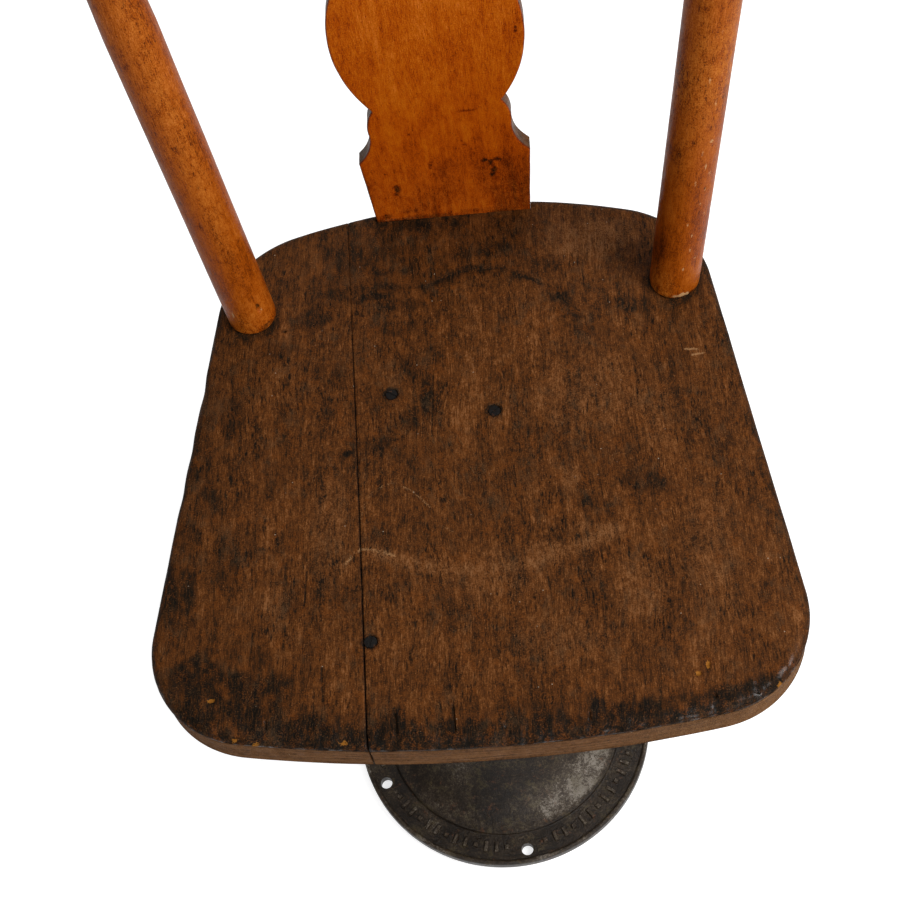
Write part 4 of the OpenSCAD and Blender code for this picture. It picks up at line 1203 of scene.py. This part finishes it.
def back_splat(material):
    outline = splat_outline()
    outline -= (0.12 * (1 + noise(outline, 9, 61)))[:, None] * outward(outline)
    inner = inner_points(outline, (0.3, 0.8, 1.5), 1.7)

    def stood(points):
        """Points of the splat's own axes in the frame, cut off level with the seat's underside."""
        placed = moved(points, SPLAT)
        placed[:, 2] = np.maximum(placed[:, 2], SEAT_UNDER)
        return placed

    def on_face(side):
        def place(points):
            distance = edge_distance(points, outline)
            out = SPLAT_T / 2 - lip(distance, 1.4, 1.2) - 0.05 * (1 + noise(points, (9, 30, 1), 62))
            if side < 0:
                for x, height, rx, rh, strength in SPLAT_STAINS:
                    out -= 0.25 * strength * spot(points, (x, height), (rx, rh))
            return stood(np.column_stack([points[:, 0], side * out, points[:, 1]]))
        return place

    def wall(y):
        ring = np.column_stack([outline[:, 0], np.full(len(outline), y), outline[:, 1]])
        sunk = 0.08 * (1 + noise(ring, (4, 2, 4), 63))
        ring[:, [0, 2]] -= sunk[:, None] * outward(outline)
        return stood(ring)

    walls = [wall(y) for y in (-4.2, -2.8, -1.4, 0, 1.4, 2.8, 4.2)]
    splat = slab("back_splat", outline, inner, inner, on_face(-1), on_face(1), walls)
    for node in ("splat_screws", "splat_brads"):
        combine(splat, grown(node, 0.05))
    paint_splat(splat, outline)
    finish_piece(splat, material, "splat_wood", "back_splat")


def paint_splat(splat, outline):
    points = moved(points_of(splat), SPLAT.inverted())
    y, height = points[:, 1], points[:, 2]
    flat = points[:, [0, 2]]
    distance = edge_distance(flat, outline)
    front = smooth(y, -2, -5)
    ragged = 1 + 0.5 * noise(points, (3, 3, 6), 71) + 0.4 * noise(points, (1.2, 1.2, 2.5), 72)
    dirt = strongest(
        spots(flat, SPLAT_STAINS, ragged, 0.1, 0.8) * front,
        0.6 * smooth(distance, 1.0, 0.2) * patchy(points, 7, 73, -1.2, 0.3),
        0.5 * smooth(height, 4, 0.4) * patchy(points, (9, 3, 3), 74, -0.8, 0.3),
        # Darker towards the lower right of the front face: painted shade.
        0.55 * spot(flat, (60, 6), (52, 74)) * front)
    arris = 0.3 * smooth(distance, 1.6, 0.9) * smooth(distance, 0.4, 0.9)
    arris *= patchy(points, 11, 75, -0.3, 0.6)
    bead = stroke(flat, [(-50, 0.8), (14, 0.6)], 1.5) * patchy(points, (5, 3, 3), 76, -0.8, 0.2)
    paint(splat, "local", points)
    paint_masks(splat, dirt=dirt, worn=0.3 * smooth(height, 75, 5) * front,
                pale=np.maximum(arris, 0.4 * bead * front),
                raw=smooth(np.abs(y), 5.2, 4.4) * smooth(distance, 0.9, 0.5) * smooth(height, 0, 1))


# ---- Crest rail ----


def crest_outline():
    """The rail seen from the front, as (x, height above its underside)."""
    top_r = (CREST_HALF**2 + (CREST_H - CREST_END_H) ** 2) / (2 * (CREST_H - CREST_END_H))
    low = (CREST_HALF - CREST_CORNER_R, CREST_CORNER_R)
    soft = 9                                # radius of the upper corners
    end = (CREST_HALF - soft, CREST_H - top_r + sqrt((top_r - soft) ** 2 - (CREST_HALF - soft) ** 2))
    top_turn = atan2(end[1] - (CREST_H - top_r), end[0])
    half = np.vstack([
        line((0, 0), (low[0], 0)),
        arc(low, CREST_CORNER_R, -pi / 2, 0, 1.5),
        line((CREST_HALF, CREST_CORNER_R), (CREST_HALF, end[1])),
        arc(end, soft, 0, top_turn, 1.2),
        arc((0, CREST_H - top_r), top_r, top_turn, pi / 2),
        [[0, CREST_H]],
    ])
    return mirrored(half)


def crest_rail(material):
    outline = crest_outline()
    inner = inner_points(outline, (0.3, 0.8, 1.6, 2.6, 3.8, 5.2), 2.4)

    def bowed(points, out):
        y = CREST_BOW - CREST_R + np.sqrt((CREST_R + out) ** 2 - points[:, 0] ** 2)
        return moved(np.column_stack([points[:, 0], y, points[:, 1] + BACK_RISE]), BACK)

    def on_face(side):
        def place(points):
            distance = edge_distance(points, outline)
            out = CREST_T / 2 - lip(distance, 5.0, 4.2) - 0.06 * (1 + noise(points, (30, 9, 1), 81 + side))
            return bowed(points, side * out)
        return place

    walls = [bowed(outline, out) for out in np.linspace(-8.2, 8.2, 9)]
    rail = slab("crest_rail", outline, inner, inner, on_face(-1), on_face(1), walls)
    for node in ("back_post_left", "back_post_right", "back_splat", "crest_pegs", "splat_brads"):
        combine(rail, grown(node, 0.06))
    paint_crest(rail)
    finish_piece(rail, material, "crest_wood", "crest_rail")


def paint_crest(rail):
    """Invented marks: a paler top, a darker underside, and a few pits and scratches."""
    points = moved(points_of(rail), BACK.inverted())
    height = points[:, 2] - BACK_RISE
    low = 0.55 * smooth(height, 5, 0) * patchy(points, 8, 84, -0.9, 0.4)
    paint(rail, "local", points[:, [1, 2, 0]])
    paint_masks(rail, dirt=np.maximum(low, 0.7 * patchy(points, (3, 3, 2), 85, 0.82, 0.95)),
                worn=0.6 * smooth(height, 45, 74) * patchy(points, (40, 12, 12), 83, -0.6, 0.5),
                pale=0.5 * patchy(points, (12, 2, 2), 86, 0.80, 0.95))


# ---- Pedestal ----


def bell(inset, steps):
    """The bell's curve, from the flat ring up to the column, as a quarter of an ellipse."""
    wide = BELL_R - COLUMN_R + inset
    foot = FLANGE_T + BELL_STEP
    high = BELL_TOP - foot + inset
    turn = pi / 2 * np.arange(steps + 1) / steps
    return np.column_stack([BELL_R - wide * np.sin(turn), BELL_TOP - high * np.cos(turn)])


def rounded(points, radius):
    """An outline with each corner of a given radius turned into a short arc."""
    found = []
    for i, (point, r) in enumerate(zip(points, radius)):
        here = np.array(point, float)
        if not r:
            found.append(here)
            continue
        before = np.array(points[i - 1], float) - here
        after = np.array(points[(i + 1) % len(points)], float) - here
        reach = min(r, 0.45 * np.linalg.norm(before), 0.45 * np.linalg.norm(after))
        start = here + reach * before / np.linalg.norm(before)
        end = here + reach * after / np.linalg.norm(after)
        for share in np.linspace(0, 1, 5):
            found.append((1 - share) ** 2 * start + 2 * share * (1 - share) * here + share**2 * end)
    return np.array(found)


def finely(points, pitch):
    """A closed outline with more points along its long lines."""
    return np.vstack([line(a, b, pitch) for a, b in zip(points, np.roll(points, -1, axis=0))])


def pedestal(material):
    """One casting: floor flange, bell, hollow column, and a collar with two bolt bosses."""
    outer = bell(0, 44)
    hollow = bell(WALL, 30)
    foot_r = BELL_R - 4
    hollow = hollow[hollow[:, 0] < foot_r - 0.5][::-1]
    collar_low = COLUMN_TOP - COLLAR_H
    bead_r, bead_z = BEAD_W / 2, FLANGE_T + BEAD_RISE - BEAD_W / 2
    bead = [(FLANGE_R, bead_z)]
    bead += [(FLANGE_R - bead_r + bead_r * cos(turn), bead_z + bead_r * sin(turn))
             for turn in np.linspace(0.4, pi - 0.4, 6)]
    corners = [(foot_r, 0), (FLANGE_R, 0), *bead, (FLANGE_R - BEAD_W, FLANGE_T), (BELL_R, FLANGE_T), *outer,
               (COLUMN_R, collar_low - (COLLAR_R - COLUMN_R)), (COLLAR_R, collar_low),
               (COLLAR_R, COLUMN_TOP), (COLUMN_R - WALL, COLUMN_TOP), *hollow]
    radius = [0.8, 1.2] + [0] * len(bead) + [1.6, 1.6] + [1.2] + [0] * (len(outer) - 1)
    radius += [5, 2.5, 2, 1] + [0] * len(hollow)
    profile = finely(rounded(corners, radius), 2.2)

    def cast(points):
        """The casting's slightly uneven skin, where nothing has to fit."""
        around = np.linalg.norm(points[:, :2], axis=1)
        free = smooth(points[:, 2], 0.3, 2) * smooth(points[:, 2], COLUMN_TOP - 1, COLUMN_TOP - 3)
        free *= around > COLUMN_R - 1
        lost = 0.10 * (1 + noise(points, 17, 91)) + 0.07 * (1 + noise(points, 5, 92))
        way = points * [1, 1, 0] / np.maximum(around, 1)[:, None]
        flat = smooth(points[:, 2], BELL_TOP * 0.6, 15)
        way = way * (1 - flat)[:, None] + np.array([0, 0, 1]) * flat[:, None]
        return points - (lost * free)[:, None] * way

    body = lathe("pedestal", profile, 220, cast, closed=True)
    for side in (-1, 1):
        inner = COLUMN_R - WALL + 2
        boss = cylinder((side * inner, 0, CROSS_Z), (side * BOSS_FACE, 0, CROSS_Z), BOSS_R, 64)
        combine(body, boss, "UNION")
    combine(body, cylinder((-50, 0, CROSS_Z), (50, 0, CROSS_Z), CROSS_BOLT_R + 0.3))
    combine(body, border(), "UNION")
    for i in range(FLOOR_HOLES):
        turn = FLOOR_HOLE_START + 2 * pi * i / FLOOR_HOLES
        x, y = BOLT_CIRCLE_R * sin(turn), -BOLT_CIRCLE_R * cos(turn)
        combine(body, cylinder((x, y, -5), (x, y, FLANGE_T + 5), FLOOR_HOLE_R, 40))
    paint_pedestal(body)
    finish_piece(body, material, "pedestal_iron", "pedestal", sharp=32)


def border():
    """A plain cast border on the flange: pairs of short bars and single studs, between the
    floor holes."""
    pitch = radians(4.6)
    points, faces = [], []
    for i in range(FLOOR_HOLES):
        for k in range(-6, 7):
            turn = FLOOR_HOLE_START + 2 * pi * (i + 0.5) / FLOOR_HOLES + k * pitch
            long, wide = (2.0, 2.0) if k % 3 == 0 else (4.3, 1.6)
            add_bar(points, faces, turn, long, wide)
    return add_mesh("border", points, faces)


def add_bar(points, faces, turn, long, wide):
    """A low bar with sloped sides that stands on the flange and points at its axis."""
    out = np.array([sin(turn), -cos(turn)])
    across = np.array([cos(turn), sin(turn)])
    first = len(points)
    corners = ((-1, -1), (1, -1), (1, 1), (-1, 1))
    for z, shrink in ((FLANGE_T - 1, 0), (FLANGE_T + 1.1, 0.3), (FLANGE_T + 1.5, 0.7)):
        for a, b in corners:
            corner = out * (BELL_R + 10 + a * (long - shrink)) + across * b * (wide - shrink)
            points.append((*corner, z))
    faces.append([first + i for i in (3, 2, 1, 0)])
    faces.append([first + 8 + i for i in range(4)])
    for low in (first, first + 4):
        for i in range(4):
            j = (i + 1) % 4
            faces.append([low + i, low + j, low + 4 + j, low + 4 + i])


def paint_pedestal(body):
    points = points_of(body)
    x, y, height = points.T
    around = np.hypot(x, y)
    # A painted sheen on the outer bell at the front right, where the key light falls; it is stored with the
    # worn rim and the worn tops of the bars.
    lit = smooth(np.cos(np.arctan2(y, x) + radians(44)), 0.70, 0.98)
    sheen = lit * smooth(around, 62, 86) * smooth(around, 96, 91) * (0.75 + 0.35 * noise(points, 3, 93))
    rim = smooth(around, FLANGE_R - 4.5, FLANGE_R - 2.5) * smooth(height, 7.5, 9)
    rim *= patchy(points, 12, 94, -0.5, 0.7)
    bars = smooth(height, FLANGE_T + 0.7, FLANGE_T + 1.1) * (around > BELL_R + 4) * (around < FLANGE_R - 5)
    # Darker in the crease where the bell rises from the flat ring: painted shade.
    step = smooth(np.abs(around - BELL_R), 3.5, 0.5) * (height > 6)
    ring = smooth(around, BELL_R + 1, BELL_R + 5) * smooth(height, 9.1, 8.2)
    ring *= patchy(points, 7, 95, -1, 0.2)
    # Darker on the front of the bell below the seat's edge: a painted shadow of the seat.
    front = smooth(spot(points, (0, -64), (46, 58)) + 0.25 * noise(points, 8, 96), 0.1, 0.8)
    paint_masks(body, worn=strongest(1.1 * sheen, 0.75 * rim, 0.35 * bars),
                dirt=strongest(0.6 * step, 0.6 * ring, front))


# ---- Ironwork under the seat and small fasteners ----


def softened(node, slot, material, width):
    """A CAD node's shape with its sharp edges rounded."""
    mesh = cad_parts[node].data.copy()
    with in_bmesh(mesh) as work:
        bmesh.ops.remove_doubles(work, verts=work.verts, dist=SAME_PLACE)
        bmesh.ops.dissolve_limit(work, angle_limit=radians(1), verts=work.verts, edges=work.edges)
    piece = add_object(node + "_soft", mesh)
    bevel = piece.modifiers.new("soft", "BEVEL")
    bevel.width = width * MM
    bevel.segments = 2
    bevel.limit_method = "ANGLE"
    bevel.angle_limit = radians(40)
    clean = np.zeros(len(mesh.vertices))
    paint_masks(piece, worn=clean, dirt=clean)
    finish_piece(piece, material, slot, node)


def dish_at(x, y):
    return float(dish(np.array([[x, y]], float))[0])


def seat_bolts(material):
    """Three slotted countersunk bolts, sunk a little below the worn seat."""
    shank, head = SEAT_BOLT_R, SEAT_BOLT_HEAD_R
    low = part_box("seat_bolts")[0].z / MM
    whole = None
    for i, (x, y) in enumerate(BOLT_PLACES):
        top = SEAT_TOP - dish_at(x, y) - 0.7
        profile = [(0, low), (shank - 0.4, low), (shank, low + 0.5), (shank, top - (head - shank)),
                   (head - 0.25, top - 0.3), (head - 0.3, top - 0.05), (head * 0.5, top), (0, top)]
        bolt = lathe("seat_bolts_soft", profile, 40, lambda points, x=x, y=y: points + [x, y, 0])
        turn = 0.7 + 1.9 * i                # each slot points its own way
        way = Vector((cos(turn), sin(turn), 0)) * 6
        combine(bolt, bar_tool(Vector((x, y, top + 0.4)), way, 0.5, 0.9))
        if whole is None:
            whole = bolt
        else:
            combine(whole, bolt, "UNION")
    finish_piece(whole, material, "bolt_head_steel", "seat_bolts")


def bar_tool(centre, way, half_width, half_height):
    """A plain bar along way, which lies level, to cut a screwdriver slot with."""
    across = Vector((0, 0, 1)).cross(way).normalized() * half_width
    up = way.cross(across).normalized() * half_height
    corners = [centre + a * way + b * across + c * up
               for a, b, c in itertools.product((-1, 1), repeat=3)]
    faces = [(0, 1, 3, 2), (4, 6, 7, 5), (0, 4, 5, 1), (2, 3, 7, 6), (0, 2, 6, 4), (1, 5, 7, 3)]
    tool = add_mesh("tool", [tuple(c) for c in corners], faces)
    with in_bmesh(tool.data) as work:
        bmesh.ops.recalc_face_normals(work, faces=work.faces)
    return tool


# ---- Stage ----


def camera():
    """The view: from the front and well above, a little to the right, and tilted."""
    azimuth, elevation, roll = radians(8.63), radians(59.53), radians(-11.94)
    distance, aim = 956.6, Vector((-0.7, 25.1, SEAT_TOP))
    way = Vector((sin(azimuth) * cos(elevation), -cos(azimuth) * cos(elevation), sin(elevation)))
    made = bpy.data.cameras.new("camera")
    made.lens = 62.25
    made.sensor_width = 36
    made.clip_end = 50
    rotation = way.to_track_quat("Z", "Y") @ Quaternion((0, 0, 1), roll)
    bpy.context.scene.camera = add_object("camera", made, (aim + distance * way) * MM, rotation)


def soft_lamp(name, place, aim, size, power):
    """A rectangular lamp that faces a point. Places and sizes are in metres."""
    made = bpy.data.lights.new(name, "AREA")
    made.shape = "RECTANGLE"
    made.size, made.size_y = size
    made.energy = power
    add_object(name, made, place, (Vector(place) - Vector(aim)).to_track_quat("Z", "Y"))


def floor_paint():
    """A pale floor that keeps shadows, and shows as white to the camera and in reflections."""
    g = Graph("floor")
    g.nodes.remove(g.shader)
    rays = g.node("ShaderNodeLightPath").outputs
    seen = rays["Is Camera Ray"]
    for kind in ("Is Glossy Ray", "Is Transmission Ray"):
        seen = g.maths("MAXIMUM", seen, rays[kind])
    diffuse = g.node("ShaderNodeBsdfDiffuse", (0.60, 0.60, 0.60))
    glow = g.node("ShaderNodeEmission", None, g.times(seen, 0.75))
    both = g.node("ShaderNodeAddShader", diffuse.outputs[0], glow.outputs[0])
    g.put(g.nodes["Material Output"].inputs["Surface"], both.outputs[0])
    return g.material


def studio():
    world = bpy.data.worlds.new("studio")
    bpy.context.scene.world = world
    world.use_nodes = True
    background = world.node_tree.nodes["Background"]
    background.inputs["Color"].default_value = (1, 1, 1, 1)
    background.inputs["Strength"].default_value = 0.22

    far, low = 6000, -1
    floor = add_mesh("floor", [(-far, -far, low), (far, -far, low), (far, far, low), (-far, far, low)],
                     [(0, 1, 2, 3)])
    floor.data.materials.append(floor_paint())

    soft_lamp("key", (1.35, -0.35, 2.2), (0, 0, 0.4), (0.9, 0.9), 38)
    soft_lamp("front", (0.9, -2.1, 1.6), (0, 0, 0.4), (1.3, 1.2), 27)
    soft_lamp("back", (0.2, 1.7, 2.0), (0, 0, 0.45), (1.8, 0.8), 10)
    bpy.context.scene.view_settings.view_transform = "Standard"


# ---- The chair ----

camera()
studio()

seat_material = seat_wood()
post_material = shellac_wood("post_wood", (0.400, 0.098, 0.0070), (0.300, 0.058, 0.0015),
                             (0.150, 0.026, 0.0010), low=0.06, shine=0.09, mark=0.95)
splat_material = shellac_wood("splat_wood", (0.550, 0.128, 0.0030), (0.420, 0.066, 0.0008),
                              (0.215, 0.028, 0.0005), low=0.20, shine=0.07, mark=0.75)
crest_material = shellac_wood("crest_wood", (0.400, 0.112, 0.0100), (0.300, 0.068, 0.0035),
                              (0.140, 0.028, 0.0020), low=0.0, shine=0.16, mark=1.0)
wedge_material = bare_wood("wedge_wood", (0.20, 0.10, 0.045), (0.09, 0.042, 0.018))
dowel_material = bare_wood("dowel_wood", (0.50, 0.33, 0.17), (0.33, 0.20, 0.09))
iron_material = cast_iron("pedestal_iron")
spider_material = cast_iron("spider_iron", 0.9)
bolt_material = steel("bolt_steel", (0.16, 0.15, 0.14))
screw_material = steel("screw_steel", (0.22, 0.19, 0.15), rust=0.7)
head_material = steel("bolt_head_steel", (0.008, 0.007, 0.006), rust=0.1)

edge = seat_outline()
in_both_boards = ("post_wedges", "seat_dowels", "seat_bolts", "spider_screws")
seat_board("seat_board_left", -1, edge, seat_material, ("back_post_left", *in_both_boards))
seat_board("seat_board_right", 1, edge, seat_material, ("back_post_right", *in_both_boards, "splat_screws"))
back_post("back_post_left", -1, post_material)
back_post("back_post_right", 1, post_material)
back_splat(splat_material)
crest_rail(crest_material)
pedestal(iron_material)
seat_bolts(head_material)
softened("seat_spider", "spider_iron", spider_material, 1.0)
softened("spider_bolt", "bolt_steel", bolt_material, 0.7)
softened("spider_nut", "bolt_steel", bolt_material, 0.7)
softened("seat_bolt_nuts", "bolt_steel", bolt_material, 0.5)
softened("crest_pegs", "wedge_wood", wedge_material, 0.5)

# CAD nodes whose shape is right get a better material only.
for node, material in (("spider_screws", screw_material), ("splat_screws", screw_material),
                       ("splat_brads", screw_material), ("seat_dowels", dowel_material),
                       ("post_wedges", wedge_material)):
    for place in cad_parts[node].material_slots:
        place.material = material
